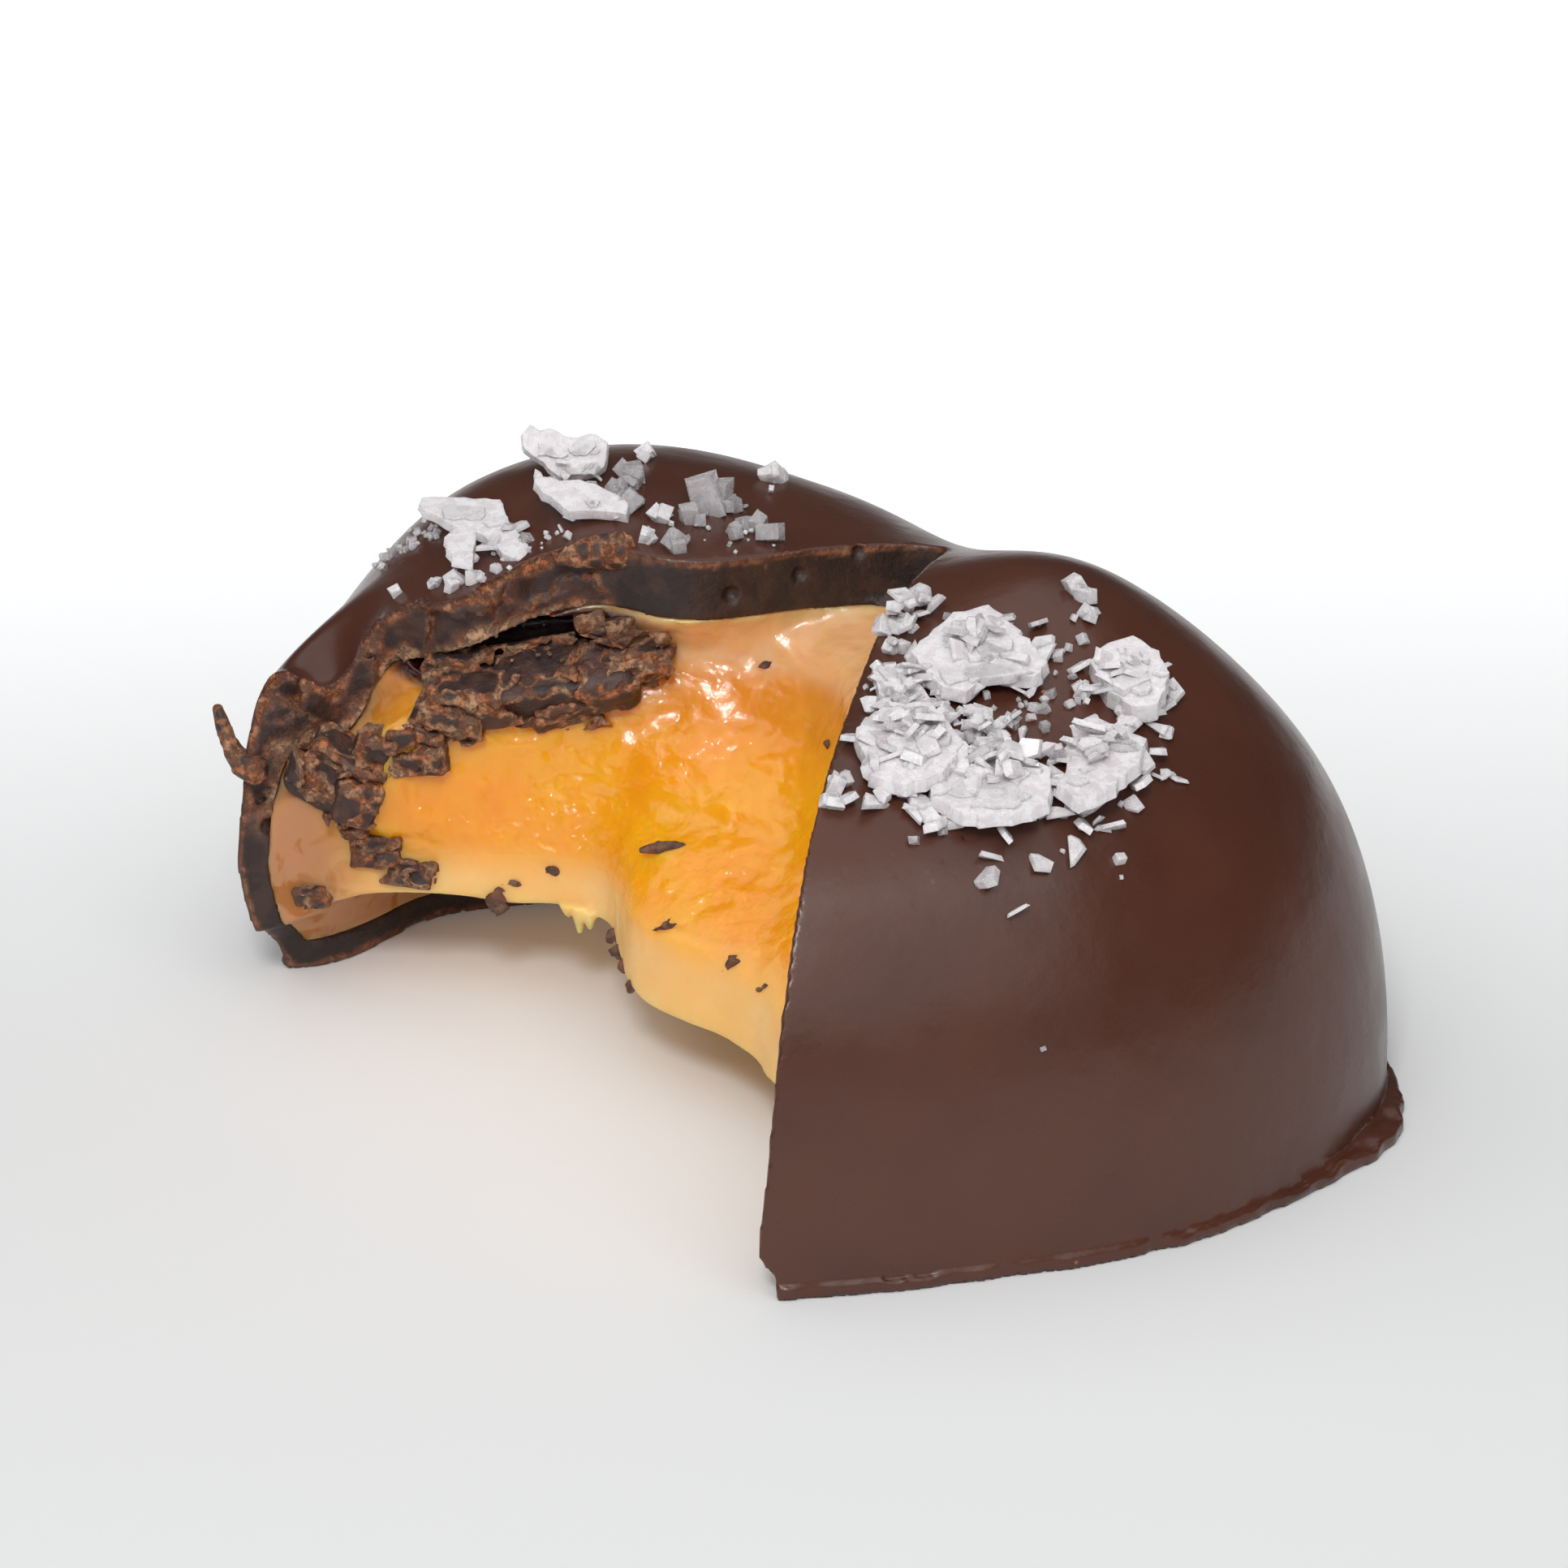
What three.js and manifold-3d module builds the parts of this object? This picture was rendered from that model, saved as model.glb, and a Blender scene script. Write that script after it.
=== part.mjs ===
// Salted caramel candy: dark chocolate shell, caramel filling, salt flakes, one bite taken out.
// Millimetres, +Z up. It rests on its flat underside, with its long side along X.
import * as THREE from "three";
import { mergeVertices } from "three/addons/utils/BufferGeometryUtils.js";
import Module from "manifold-3d";

const wasm = await Module();
wasm.setup();

// Whole candy, before the bite
const MIDDLE = [-1.7, 0]; // plan point that the wall radii are measured from
const WALL_RADII = [19, 19.6, 16.6, 14.5, 17.5, 21.5, 19.2, 16.4, 16.5, 16.8, 17.5, 17.3]; // every 30 degrees
const CROWN = 14.1; // height of the plain dome
const LEFT_SWELL = { at: [-11.8, 4.2], rise: 1.7, spread: 67 }; // the broad left half stands higher
const RIGHT_SWELL = { at: [5.3, 5.6], rise: 1.9, spread: 22 }; // and so does the right half
const LID_SINK = 2; // how far the lid was pressed down beside the left end of the bite
const LID_SINK_X = [-13, -6]; // the sink fades out over these distances
const LID_SINK_Y = [-6, 3];
const LID_DENT = { at: [-14.5, -5.2], rise: -2.3, spread: 2.1 }; // the lid edge dips further here
const DOME_POWER = 5; // how flat the top runs before the shoulder turns down
const SHOULDER_POWER = 2.2; // how round the shoulder is
const CORNER_POWER = 13.2; // the shoulder is squarer at the left end of the bite
const CORNER_ANGLE = 3.64; // radians, as every angle here
const CORNER_WIDTH = 0.2;
const FOOT_HEIGHT = 0.7; // thin skirt of chocolate round the base
const FOOT_RINGS = [0.6, 0.2]; // shares of that height where the skirt stands out
const FOOT_REACH = 0.12;
const FOOT_FRAY = 0.7; // extra reach of the frayed stretch of skirt
const FOOT_FRAY_ANGLE = 0.36;
const FOOT_FRAY_WIDTH = 0.16;
const BASE_SHARES = [0.985, 0.5, 0]; // rings of the flat underside, as shares of the wall's radius
const TUCK = 1.5; // how far the wall draws in above the floor at the left end of the bite
const TUCK_HEIGHT = 5.8;
const TUCK_ANGLE = 3.5;
const TUCK_WIDTH = 0.5;

// Chocolate thicknesses
const SIDE = 1; // side wall
const LID = 2; // top
const FLOOR = 1; // underside
const FIT = 0.3; // gap between the filling and the chocolate
const LAYER_LIFT = 0.4; // how much higher the inner layers start than the floor or the skirt
const RING_CROWDING = 1.9; // crowds the rings of a layer towards its shoulder
const SKIN_MESH = { turns: 96, rings: 14 };
const LAYER_MESH = { turns: 72, rings: 11 };
const MERGE = 1e-5; // corners closer than this are one corner

// The bite, from its left end to its right end, in plan: lid edge, top of the caramel face,
// its lower lip, and the deeper cut under that lip
const RIM = [[-19.5, -10.6], [-15.7, -7.3], [-13.8, -4.3], [-10, -3.5], [-7.8, -0.6],
  [-4.6, 1], [-0.5, 7.4], [3, 0.2], [7.9, -8.3], [11.5, -15.5]];
const FACE = [[-19.5, -10.9], [-15.4, -7.8], [-12.3, -5.9], [-9.8, -3], [-7.4, -0.5],
  [-5.4, 1.7], [-1.5, 3], [4, -1.6], [8.2, -9], [11.5, -15.5]];
const LIP = [[-19.5, -11.2], [-15.4, -7.7], [-13, -5.8], [-9.6, -3.3], [-6.3, -1.8],
  [-2.6, -4.3], [2.6, -5], [6.2, -7.2], [9, -11.4], [11.5, -16]];
const UNDER = [[-20.5, -8.6], [-15.6, -5], [-15.2, 0.6], [-11.5, 5], [-7, 6],
  [-1.5, 5.4], [3.5, 2], [7, -4.6], [9.8, -11.6], [11.8, -15.8]];
const LID_UNDERSIDE = [5.5, 6.4, 9, 11.2, 12.3, 12.8, 12.9, 12.6, 9.5, 7]; // heights along the bite
const LEDGE = [5.2, 6, 8.5, 10.6, 11.2, 11.4, 11.4, 11, 9, 6.5];
const RIDGE = [2.6, 3.6, 5.2, 5.1, 5, 4.8, 4.6, 3.6, 2.4, 1.6];
const LIP_HEIGHT = [1.4, 2.2, 3.4, 3.4, 3.3, 2.6, 2.4, 1.9, 1.3, 1];
const LEDGE_SHARE = 0.9; // the ledge starts this share of the way from the lid edge to the face
const LEDGE_SLOPE = [0.3, -0.2]; // its height at the back and at the front, from LEDGE
const FACE_KNOTS = [[0.12, 0.3], [0.42, 0.65], [0.92, 1]]; // shares of the way to the lip and the ridge
const UNDER_KNOTS = [[0.5, 0.87], [0.93, 0.5]]; // shares of the way to the cut and of the lip height
const UNDER_FOOT = 0.1;
const BITE_FAR = [[-25, -32], [14, -32]]; // where the cut opens, outside the candy
const BITE_TOP = 18;
const BITE_BOTTOM = -2;
const BITE_STATIONS = 48;
const CRAG = 0.22; // roughness of the bitten faces
const CRAG_SEED = 5;

// Moves the candy so that the middle of its whole box, at the underside, is the origin
const TO_ORIGIN = [1.9107, -1.2378];

const CHOCOLATE = 0x3a2420;
const CARAMEL = 0xd98a24;
const SHARD = 0x2e1c19;

function seeded(seed) {
  let state = seed;
  return () => {
    state = (state * 1664525 + 1013904223) % 4294967296;
    return state / 4294967296;
  };
}

function smooth(from, to, value) {
  return THREE.MathUtils.smoothstep((value - from) / (to - from), 0, 1);
}

// Smooth closed curve through evenly spaced values
function around(values, angle) {
  const count = values.length;
  const turn = THREE.MathUtils.euclideanModulo(angle / (2 * Math.PI), 1) * count;
  const at = Math.floor(turn);
  const pick = (step) => values[(at + step + count) % count];
  return catmull(pick(-1), pick(0), pick(1), pick(2), turn - at);
}

// Smooth open curve through evenly spaced values, u from 0 to 1
function along(values, u) {
  const last = values.length - 1;
  const at = Math.min(Math.floor(u * last), last - 1);
  const pick = (step) => values[THREE.MathUtils.clamp(at + step, 0, last)];
  return catmull(pick(-1), pick(0), pick(1), pick(2), u * last - at);
}

function catmull(a, b, c, d, t) {
  const linear = c - a;
  const square = 2 * a - 5 * b + 4 * c - d;
  const cube = 3 * b - a - 3 * c + d;
  return b + 0.5 * (linear * t + square * t * t + cube * t * t * t);
}

function bell(offset, width) {
  return Math.exp(-((offset / width) ** 2));
}

function swell({ at, rise, spread }, x, y) {
  return rise * bell(Math.hypot(x - at[0], y - at[1]), Math.sqrt(spread));
}

function crownHeight(x, y) {
  const sink = LID_SINK * (1 - smooth(...LID_SINK_X, x)) * (1 - smooth(...LID_SINK_Y, y));
  return CROWN + swell(LEFT_SWELL, x, y) + swell(RIGHT_SWELL, x, y) + swell(LID_DENT, x, y) - sink;
}

// Height of the shoulder, from 1 at the middle to 0 at the wall
function shoulderShare(share, angle) {
  const power = DOME_POWER + CORNER_POWER * bell(angle - CORNER_ANGLE, CORNER_WIDTH);
  return Math.max(0, 1 - share ** power) ** (1 / SHOULDER_POWER);
}

// Height of the whole candy over a plan point
function domeHeight(x, y) {
  const dx = x - MIDDLE[0];
  const dy = y - MIDDLE[1];
  const angle = THREE.MathUtils.euclideanModulo(Math.atan2(dy, dx), 2 * Math.PI);
  const share = Math.hypot(dx, dy) / around(WALL_RADII, angle);
  return FOOT_HEIGHT + (crownHeight(x, y) - FOOT_HEIGHT) * shoulderShare(share, angle);
}

// Turns a closed geometry into a solid for joining and cutting
function solid(geometry) {
  const bare = geometry.clone();
  bare.deleteAttribute("normal");
  bare.deleteAttribute("uv");
  const merged = mergeVertices(bare, MERGE);
  const mesh = new wasm.Mesh({
    numProp: 3,
    vertProperties: new Float32Array(merged.attributes.position.array),
    triVerts: new Uint32Array(merged.index.array),
  });
  return new wasm.Manifold(mesh);
}

// The largest piece of a solid, as a geometry, so that no loose scrap is kept
function geometryOf(body) {
  const pieces = body.decompose();
  pieces.sort((a, b) => b.volume() - a.volume());
  const mesh = pieces[0].getMesh();
  const geometry = new THREE.BufferGeometry();
  geometry.setAttribute("position", new THREE.BufferAttribute(mesh.vertProperties, 3));
  geometry.setIndex(new THREE.BufferAttribute(mesh.triVerts, 1));
  geometry.computeVertexNormals();
  return geometry;
}

// How far the wall draws in near the floor
function tuck(angle, z) {
  return TUCK * bell(angle - TUCK_ANGLE, TUCK_WIDTH) * Math.max(0, 1 - z / TUCK_HEIGHT) ** 2;
}

// Dome with a flat underside, made from a sphere whose rings follow the candy's own profile
function pillow({ inset, drop, base, foot, turns, rings }) {
  const profile = [];
  for (let ring = 0; ring <= rings; ring += 1) {
    profile.push({ share: 1 - (1 - ring / rings) ** RING_CROWDING, dome: true });
  }
  if (foot) {
    profile.push(...FOOT_RINGS.map((ring) => ({ share: 1, skirt: true, z: FOOT_HEIGHT * ring })));
  }
  profile.push(...BASE_SHARES.map((share) => ({ share, z: base })));
  const geometry = new THREE.SphereGeometry(1, turns, profile.length - 1);
  const position = geometry.attributes.position;
  for (let i = 0; i < position.count; i += 1) {
    const knot = profile[Math.floor(i / (turns + 1))];
    const angle = (2 * Math.PI * (i % (turns + 1) % turns)) / turns;
    const fray = FOOT_FRAY * bell(angle - FOOT_FRAY_ANGLE, FOOT_FRAY_WIDTH);
    const skirt = knot.skirt ? FOOT_REACH + fray : 0;
    let radius = (around(WALL_RADII, angle) - inset) * knot.share + skirt;
    const plainX = MIDDLE[0] + radius * Math.cos(angle);
    const plainY = MIDDLE[1] + radius * Math.sin(angle);
    const low = Math.max(base, FOOT_HEIGHT) + (foot ? 0 : LAYER_LIFT);
    const rise = (crownHeight(plainX, plainY) - drop - low) * shoulderShare(knot.share, angle);
    const z = knot.dome ? low + rise : knot.z;
    radius -= tuck(angle, z) * knot.share ** 2;
    position.setXYZ(i, MIDDLE[0] + radius * Math.cos(angle), MIDDLE[1] + radius * Math.sin(angle), z);
  }
  return geometry;
}

// One upright line of the bitten face, top to bottom, at u from the bite's left end to its right
function biteLine(u) {
  const plan = (path) => [along(path.map((p) => p[0]), u), along(path.map((p) => p[1]), u)];
  const mix = (a, b, t) => [a[0] + (b[0] - a[0]) * t, a[1] + (b[1] - a[1]) * t];
  const rim = plan(RIM);
  const face = plan(FACE);
  const lip = plan(LIP);
  const under = plan(UNDER);
  const lidUnderside = along(LID_UNDERSIDE, u);
  const ledge = along(LEDGE, u);
  const ridge = along(RIDGE, u);
  const lipHeight = along(LIP_HEIGHT, u);
  return [
    [rim, BITE_TOP],
    [rim, lidUnderside + LID],
    [rim, lidUnderside],
    [mix(rim, face, LEDGE_SHARE), ledge + LEDGE_SLOPE[0]],
    [face, ledge + LEDGE_SLOPE[1]],
    ...FACE_KNOTS.map(([out, down]) => [mix(face, lip, out), THREE.MathUtils.lerp(ledge, ridge, down)]),
    [lip, lipHeight],
    ...UNDER_KNOTS.map(([out, height]) => [mix(lip, under, out), lipHeight * height]),
    [under, UNDER_FOOT],
    [under, BITE_BOTTOM],
  ];
}

// What the teeth took away: a block whose back is the bitten face
function biteBlock(stations, crag, seed) {
  const random = seeded(seed);
  const levels = biteLine(0).length - 1;
  const geometry = new THREE.BoxGeometry(1, 1, 1, stations, 1, levels);
  const position = geometry.attributes.position;
  const nudges = new Map();
  for (let i = 0; i < position.count; i += 1) {
    const station = Math.round((position.getX(i) + 0.5) * stations);
    const level = Math.round((0.5 - position.getZ(i)) * levels);
    const u = station / stations;
    const [plan, z] = biteLine(u)[level];
    const key = `${station} ${level}`;
    if (!nudges.has(key)) {
      nudges.set(key, [random() - 0.5, random() - 0.5]);
    }
    if (position.getY(i) > 0) {
      const [nudgeX, nudgeY] = nudges.get(key);
      position.setXYZ(i, plan[0] + nudgeX * crag, plan[1] + nudgeY * crag, z);
    } else {
      position.setXYZ(i, THREE.MathUtils.lerp(BITE_FAR[0][0], BITE_FAR[1][0], u), BITE_FAR[0][1], z);
    }
  }
  return geometry;
}

// Salt

const SALT_THICKNESS = 0.45;
const SALT_SINK = 0.3; // how deep salt is set in the chocolate
const PLATE_SIDES = 7;
const PLATE_REACH = [0.75, 1.25]; // how far its corners lie from the middle, as shares of its size
const CORNER_SHIFT = 0.6; // how far a corner strays round the outline, as a share of a side
const PLATE_LIFT = 0.3; // share of the thickness and of the lean that the plate is raised by
const GRAIN_SIZE = [0.75, 1.25];
const GRAIN_WIDTH = [0.6, 1.1];
const GRAIN_HEIGHT = 0.9;
const GRAIN_LEAN = 0.9;
const SALT_SEED = 11;

function between(random, [low, high]) {
  return low + (high - low) * random();
}

// A broken salt plate: an outline of uneven radius, as thick as a flake, tilted on the dome
function saltPlate({ at, long, wide, turn, tilt, seed }) {
  const random = seeded(seed);
  const shape = new THREE.Shape();
  for (let side = 0; side < PLATE_SIDES; side += 1) {
    const angle = (2 * Math.PI * (side + CORNER_SHIFT * random())) / PLATE_SIDES;
    const reach = between(random, PLATE_REACH);
    const x = 0.5 * long * reach * Math.cos(angle);
    const y = 0.5 * wide * reach * Math.sin(angle);
    if (side === 0) {
      shape.moveTo(x, y);
    } else {
      shape.lineTo(x, y);
    }
  }
  shape.closePath();
  const settings = { depth: SALT_THICKNESS, bevelEnabled: false };
  const geometry = new THREE.ExtrudeGeometry(shape, settings);
  geometry.translate(0, 0, -SALT_THICKNESS * 0.5);
  geometry.rotateX(tilt);
  geometry.rotateZ(turn);
  const lift = PLATE_LIFT * (SALT_THICKNESS + Math.abs(Math.sin(tilt)) * wide);
  geometry.translate(at[0], at[1], domeHeight(at[0], at[1]) + lift);
  return geometry;
}

// A salt crystal: a small block, squashed and turned
function saltGrain(x, y, size, random) {
  const wide = size * between(random, GRAIN_WIDTH);
  const geometry = new THREE.BoxGeometry(size, wide, size * GRAIN_HEIGHT);
  geometry.rotateX(random() * GRAIN_LEAN);
  geometry.rotateY(random() * GRAIN_LEAN);
  geometry.rotateZ(random() * Math.PI);
  geometry.translate(x, y, domeHeight(x, y) + size * 0.5 - SALT_SINK);
  return geometry;
}

function saltPieces() {
  const random = seeded(SALT_SEED);
  const pieces = [
    saltPlate({ at: [-12.7, -1.4], long: 3.4, wide: 1.7, turn: 0.5, tilt: 0.25, seed: 2 }),
    saltPlate({ at: [-10.8, -2.3], long: 2.4, wide: 1.5, turn: -0.7, tilt: -0.2, seed: 3 }),
    saltPlate({ at: [-12.3, 3.2], long: 3.4, wide: 2.1, turn: 2.2, tilt: 0.3, seed: 4 }),
    saltPlate({ at: [-9.8, 1.2], long: 3.1, wide: 1.7, turn: 2.4, tilt: -0.25, seed: 5 }),
    saltPlate({ at: [7.1, 0.6], long: 3.6, wide: 2.6, turn: 0.9, tilt: 0.3, seed: 6 }),
    saltPlate({ at: [9.3, -5], long: 3.2, wide: 2, turn: 0.3, tilt: -0.2, seed: 7 }),
    saltPlate({ at: [11.4, -1.4], long: 3, wide: 2, turn: 1.3, tilt: 0.2, seed: 8 }),
  ];
  // Loose crystals: [centre, spread, how many, size]
  const clusters = [
    [[-14.3, -2], 0.9, 4, 0.8],
    [[-10.4, -5], 0.7, 3, 0.7],
    [[-8.9, 2.4], 0.8, 4, 0.95],
    [[-6.7, 1.6], 0.7, 3, 0.9],
    [[-5.5, 3.6], 0.9, 6, 1],
    [[-9.5, 6.6], 2.6, 3, 0.8],
    [[3, 1.6], 0.5, 3, 1.1],
    [[7.2, -5.6], 0.9, 4, 1.1],
    [[10.2, -3.4], 1.2, 5, 1.2],
    [[11.6, 2], 0.9, 4, 1.2],
    [[7.8, 4.2], 0.9, 3, 1],
  ];
  for (const [centre, spread, count, size] of clusters) {
    for (let index = 0; index < count; index += 1) {
      const angle = 2 * Math.PI * random();
      const distance = spread * Math.sqrt(random());
      const x = centre[0] + distance * Math.cos(angle);
      const y = centre[1] + distance * Math.sin(angle);
      pieces.push(saltGrain(x, y, size * between(random, GRAIN_SIZE), random));
    }
  }
  return pieces;
}

// Broken chocolate that the teeth pressed into the caramel under the lid

const SLAB_TAPER = 0.25; // how much thinner a slab is at its ends

// An uneven slab: a box whose ends and faces wander
function slab({ size, at, turn, tilt, roll, crag, seed, grid }) {
  const random = seeded(seed);
  const geometry = new THREE.BoxGeometry(size[0], size[1], size[2], grid[0], grid[1], grid[2]);
  geometry.deleteAttribute("normal");
  geometry.deleteAttribute("uv");
  const merged = mergeVertices(geometry, MERGE);
  const position = merged.attributes.position;
  for (let i = 0; i < position.count; i += 1) {
    const x = position.getX(i) + crag * (random() - 0.5);
    const y = position.getY(i) + crag * (random() - 0.5);
    const z = position.getZ(i) + crag * (random() - 0.5);
    const taper = 1 - SLAB_TAPER * ((2 * x) / size[0]) ** 2;
    position.setXYZ(i, x, y * taper, z * taper);
  }
  merged.rotateX(roll);
  merged.rotateY(tilt);
  merged.rotateZ(turn);
  merged.translate(at[0], at[1], at[2]);
  return merged;
}

function grown(options) {
  const size = options.size.map((side) => side + 2 * FIT);
  return slab({ ...options, size });
}

const PRESSED_SHARD = {
  size: [7, 2.4, 1.5],
  at: [-8.9, -1.7, 10.7],
  turn: 0.78,
  tilt: -0.14,
  roll: 0.5,
  crag: 0.3,
  seed: 21,
  grid: [7, 3, 1],
};
const CORNER_CHUNK = {
  size: [3, 1.6, 1.9],
  at: [-13.2, -5.9, 7.7],
  turn: 0.5,
  tilt: 0.5,
  roll: 0.2,
  crag: 0.3,
  seed: 22,
  grid: [4, 2, 2],
};
const HOLLOW = { at: [-9.6, -2.4, 11.7], half: [3.4, 2.2, 0.7], turn: 0.72, tilt: -0.16 };
const HOLLOW_MESH = [16, 8];

// The gap under the raised lid edge
function hollow() {
  const geometry = new THREE.SphereGeometry(1, HOLLOW_MESH[0], HOLLOW_MESH[1]);
  geometry.scale(HOLLOW.half[0], HOLLOW.half[1], HOLLOW.half[2]);
  geometry.rotateY(HOLLOW.tilt);
  geometry.rotateZ(HOLLOW.turn);
  geometry.translate(HOLLOW.at[0], HOLLOW.at[1], HOLLOW.at[2]);
  return geometry;
}

// The pieces

const bite = solid(biteBlock(BITE_STATIONS, CRAG, CRAG_SEED));
const pressedSpace = solid(grown(PRESSED_SHARD)).add(solid(grown(CORNER_CHUNK)));

function chocolateShell() {
  const outside = pillow({ inset: 0, drop: 0, base: 0, foot: true, ...SKIN_MESH });
  const inside = pillow({ inset: SIDE, drop: LID, base: FLOOR, foot: false, ...LAYER_MESH });
  let shell = solid(outside).subtract(solid(inside)).subtract(bite).subtract(pressedSpace);
  for (const piece of saltPieces()) {
    shell = shell.add(solid(piece));
  }
  return geometryOf(shell);
}

function caramelCore() {
  const body = pillow({
    inset: SIDE + FIT,
    drop: LID + FIT,
    base: FLOOR + FIT,
    foot: false,
    ...LAYER_MESH,
  });
  const core = solid(body).subtract(bite).subtract(pressedSpace).subtract(solid(hollow()));
  return geometryOf(core);
}

function node(name, geometry, color, roughness) {
  const material = new THREE.MeshStandardMaterial({ color, roughness, metalness: 0 });
  const mesh = new THREE.Mesh(geometry, material);
  mesh.name = name;
  return mesh;
}

const group = new THREE.Group();
group.add(node("chocolate_shell", chocolateShell(), CHOCOLATE, 0.35));
group.add(node("caramel_core", caramelCore(), CARAMEL, 0.2));
group.add(node("pressed_shard", slab(PRESSED_SHARD), SHARD, 0.8));
group.add(node("corner_chunk", slab(CORNER_CHUNK), SHARD, 0.8));
group.position.set(TO_ORIGIN[0], TO_ORIGIN[1], 0);

export default group;
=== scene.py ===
# Looks of the bitten salted caramel candy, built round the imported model
import itertools
import math

import bmesh
import bpy
import numpy as np
import openvdb
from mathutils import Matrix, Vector


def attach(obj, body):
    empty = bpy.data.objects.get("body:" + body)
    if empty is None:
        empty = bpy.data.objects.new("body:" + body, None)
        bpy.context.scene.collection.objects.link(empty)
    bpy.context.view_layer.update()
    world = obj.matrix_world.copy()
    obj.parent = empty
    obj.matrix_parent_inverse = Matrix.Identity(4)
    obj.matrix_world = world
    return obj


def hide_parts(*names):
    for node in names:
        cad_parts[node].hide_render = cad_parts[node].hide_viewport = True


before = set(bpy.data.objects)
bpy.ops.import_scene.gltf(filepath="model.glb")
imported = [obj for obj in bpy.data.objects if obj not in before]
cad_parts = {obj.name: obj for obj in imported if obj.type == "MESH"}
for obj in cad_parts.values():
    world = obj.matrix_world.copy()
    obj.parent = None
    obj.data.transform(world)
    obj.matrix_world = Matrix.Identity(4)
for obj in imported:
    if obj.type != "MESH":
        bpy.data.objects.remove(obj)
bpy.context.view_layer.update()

MM = 0.001

# The candy's own measures in mm, as in the part's source

MIDDLE = np.array([-1.7, 0.0])
WALL_RADII = [19, 19.6, 16.6, 14.5, 17.5, 21.5, 19.2, 16.4, 16.5, 16.8, 17.5, 17.3]
CROWN = 14.1
SWELLS = [((-11.8, 4.2), 1.7, 67), ((5.3, 5.6), 1.9, 22), ((-14.5, -5.2), -2.3, 2.1)]
LID_SINK = 2.0
LID_SINK_X = (-13, -6)
LID_SINK_Y = (-6, 3)
DOME_POWER = 5
SHOULDER_POWER = 2.2
CORNER_POWER = 13.2
CORNER_ANGLE = 3.64
CORNER_WIDTH = 0.2
FOOT_HEIGHT = 0.7
FOOT_REACH = 0.12
FOOT_FRAY = 0.7
FOOT_FRAY_ANGLE = 0.36
FOOT_FRAY_WIDTH = 0.16
TUCK = 1.5
TUCK_HEIGHT = 5.8
TUCK_ANGLE = 3.5
TUCK_WIDTH = 0.5
SIDE = 1.0
LID = 2.0
FLOOR = 1.0
LAYER_LIFT = 0.4
TO_ORIGIN = np.array([1.9107, -1.2378, 0.0])

RIM = [[-19.5, -10.6], [-15.7, -7.3], [-13.8, -4.3], [-10, -3.5], [-7.8, -0.6],
       [-4.6, 1], [-0.5, 7.4], [3, 0.2], [7.9, -8.3], [11.5, -15.5]]
FACE = [[-19.5, -10.9], [-15.4, -7.8], [-12.3, -5.9], [-9.8, -3], [-7.4, -0.5],
        [-5.4, 1.7], [-1.5, 3], [4, -1.6], [8.2, -9], [11.5, -15.5]]
LIP = [[-19.5, -11.2], [-15.4, -7.7], [-13, -5.8], [-9.6, -3.3], [-6.3, -1.8],
       [-2.6, -4.3], [2.6, -5], [6.2, -7.2], [9, -11.4], [11.5, -16]]
UNDER = [[-20.5, -8.6], [-15.6, -5], [-15.2, 0.6], [-11.5, 5], [-7, 6],
         [-1.5, 5.4], [3.5, 2], [7, -4.6], [9.8, -11.6], [11.8, -15.8]]
LID_UNDERSIDE = [5.5, 6.4, 9, 11.2, 12.3, 12.8, 12.9, 12.6, 9.5, 7]
LEDGE = [5.2, 6, 8.5, 10.6, 11.2, 11.4, 11.4, 11, 9, 6.5]
RIDGE = [2.6, 3.6, 5.2, 5.1, 5, 4.8, 4.6, 3.6, 2.4, 1.6]
LIP_HEIGHT = [1.4, 2.2, 3.4, 3.4, 3.3, 2.6, 2.4, 1.9, 1.3, 1]
LEDGE_SHARE = 0.9
LEDGE_SLOPE = (0.3, -0.2)
FACE_KNOTS = [(0.12, 0.3), (0.42, 0.65), (0.92, 1)]
UNDER_KNOTS = [(0.5, 0.87), (0.93, 0.5)]
UNDER_FOOT = 0.1
BITE_FAR = [[-25, -32], [14, -32]]
BITE_TOP = 18.0
BITE_BOTTOM = -2.0
BITE_STATIONS = 97
BITE_STEP = 0.25
HOLLOW_AT = np.array([-9.6, -2.4, 11.6])
HOLLOW_HALF = np.array([3.4, 2.2, 0.9])
HOLLOW_TURN = 0.72
HOLLOW_TILT = -0.16

# Pores in the broken lid and wall: middle and radius

PORES = [((-4.06, 1.75, 13.58), 0.28), ((-3.03, 3.75, 13.94), 0.24), ((-2.17, 5.5, 14.38), 0.22),
         ((-15.0, -7.5, 5.79), 0.3), ((-15.6, -7.25, 6.46), 0.2), ((-5.2, 0.75, 13.2), 0.16)]

# Threads of caramel that hang from its lower edge: top, length and radius

DRIPS = [((-7.1, -1.95, 3.6), 1.1, 0.3), ((-6.75, -1.85, 3.5), 0.8, 0.25), ((-7.5, -2.05, 3.6), 0.55, 0.3)]

# How chocolate breaks: its lumps in mm, its steps, and how far steps, crumbs and grit stand out

SWELL_SIZE = 5.0
LUMP_SIZE = 1.5
CRUMB_SIZE = 0.7
GRIT_SIZE = 0.32
SKIN_WAVE = 0.03
ROUGH_END_X = (-7.6, -6.9)
ROUGH_START_Z = (5, 8)
BREAK_REACH = 1.6
BREAK_STEP = 1.9
BREAK_STRAY = 0.3
BREAK_LEAN = 0.3
BREAK_RELIEF = (0.32, 0.08, 0.03)
BREAK_SEAM = (0.14, 0.02)
CLEAN_GRIT = 0.012

# Depth in mm over which the crust of broken chocolate shows: at the lid's top, its underside, a clean cut

TOP_CRUST = (0.5, 0.1)
LOW_CRUST = (0.5, 0.1)
CLEAN_CRUST = (0.28, 0.1)

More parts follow.
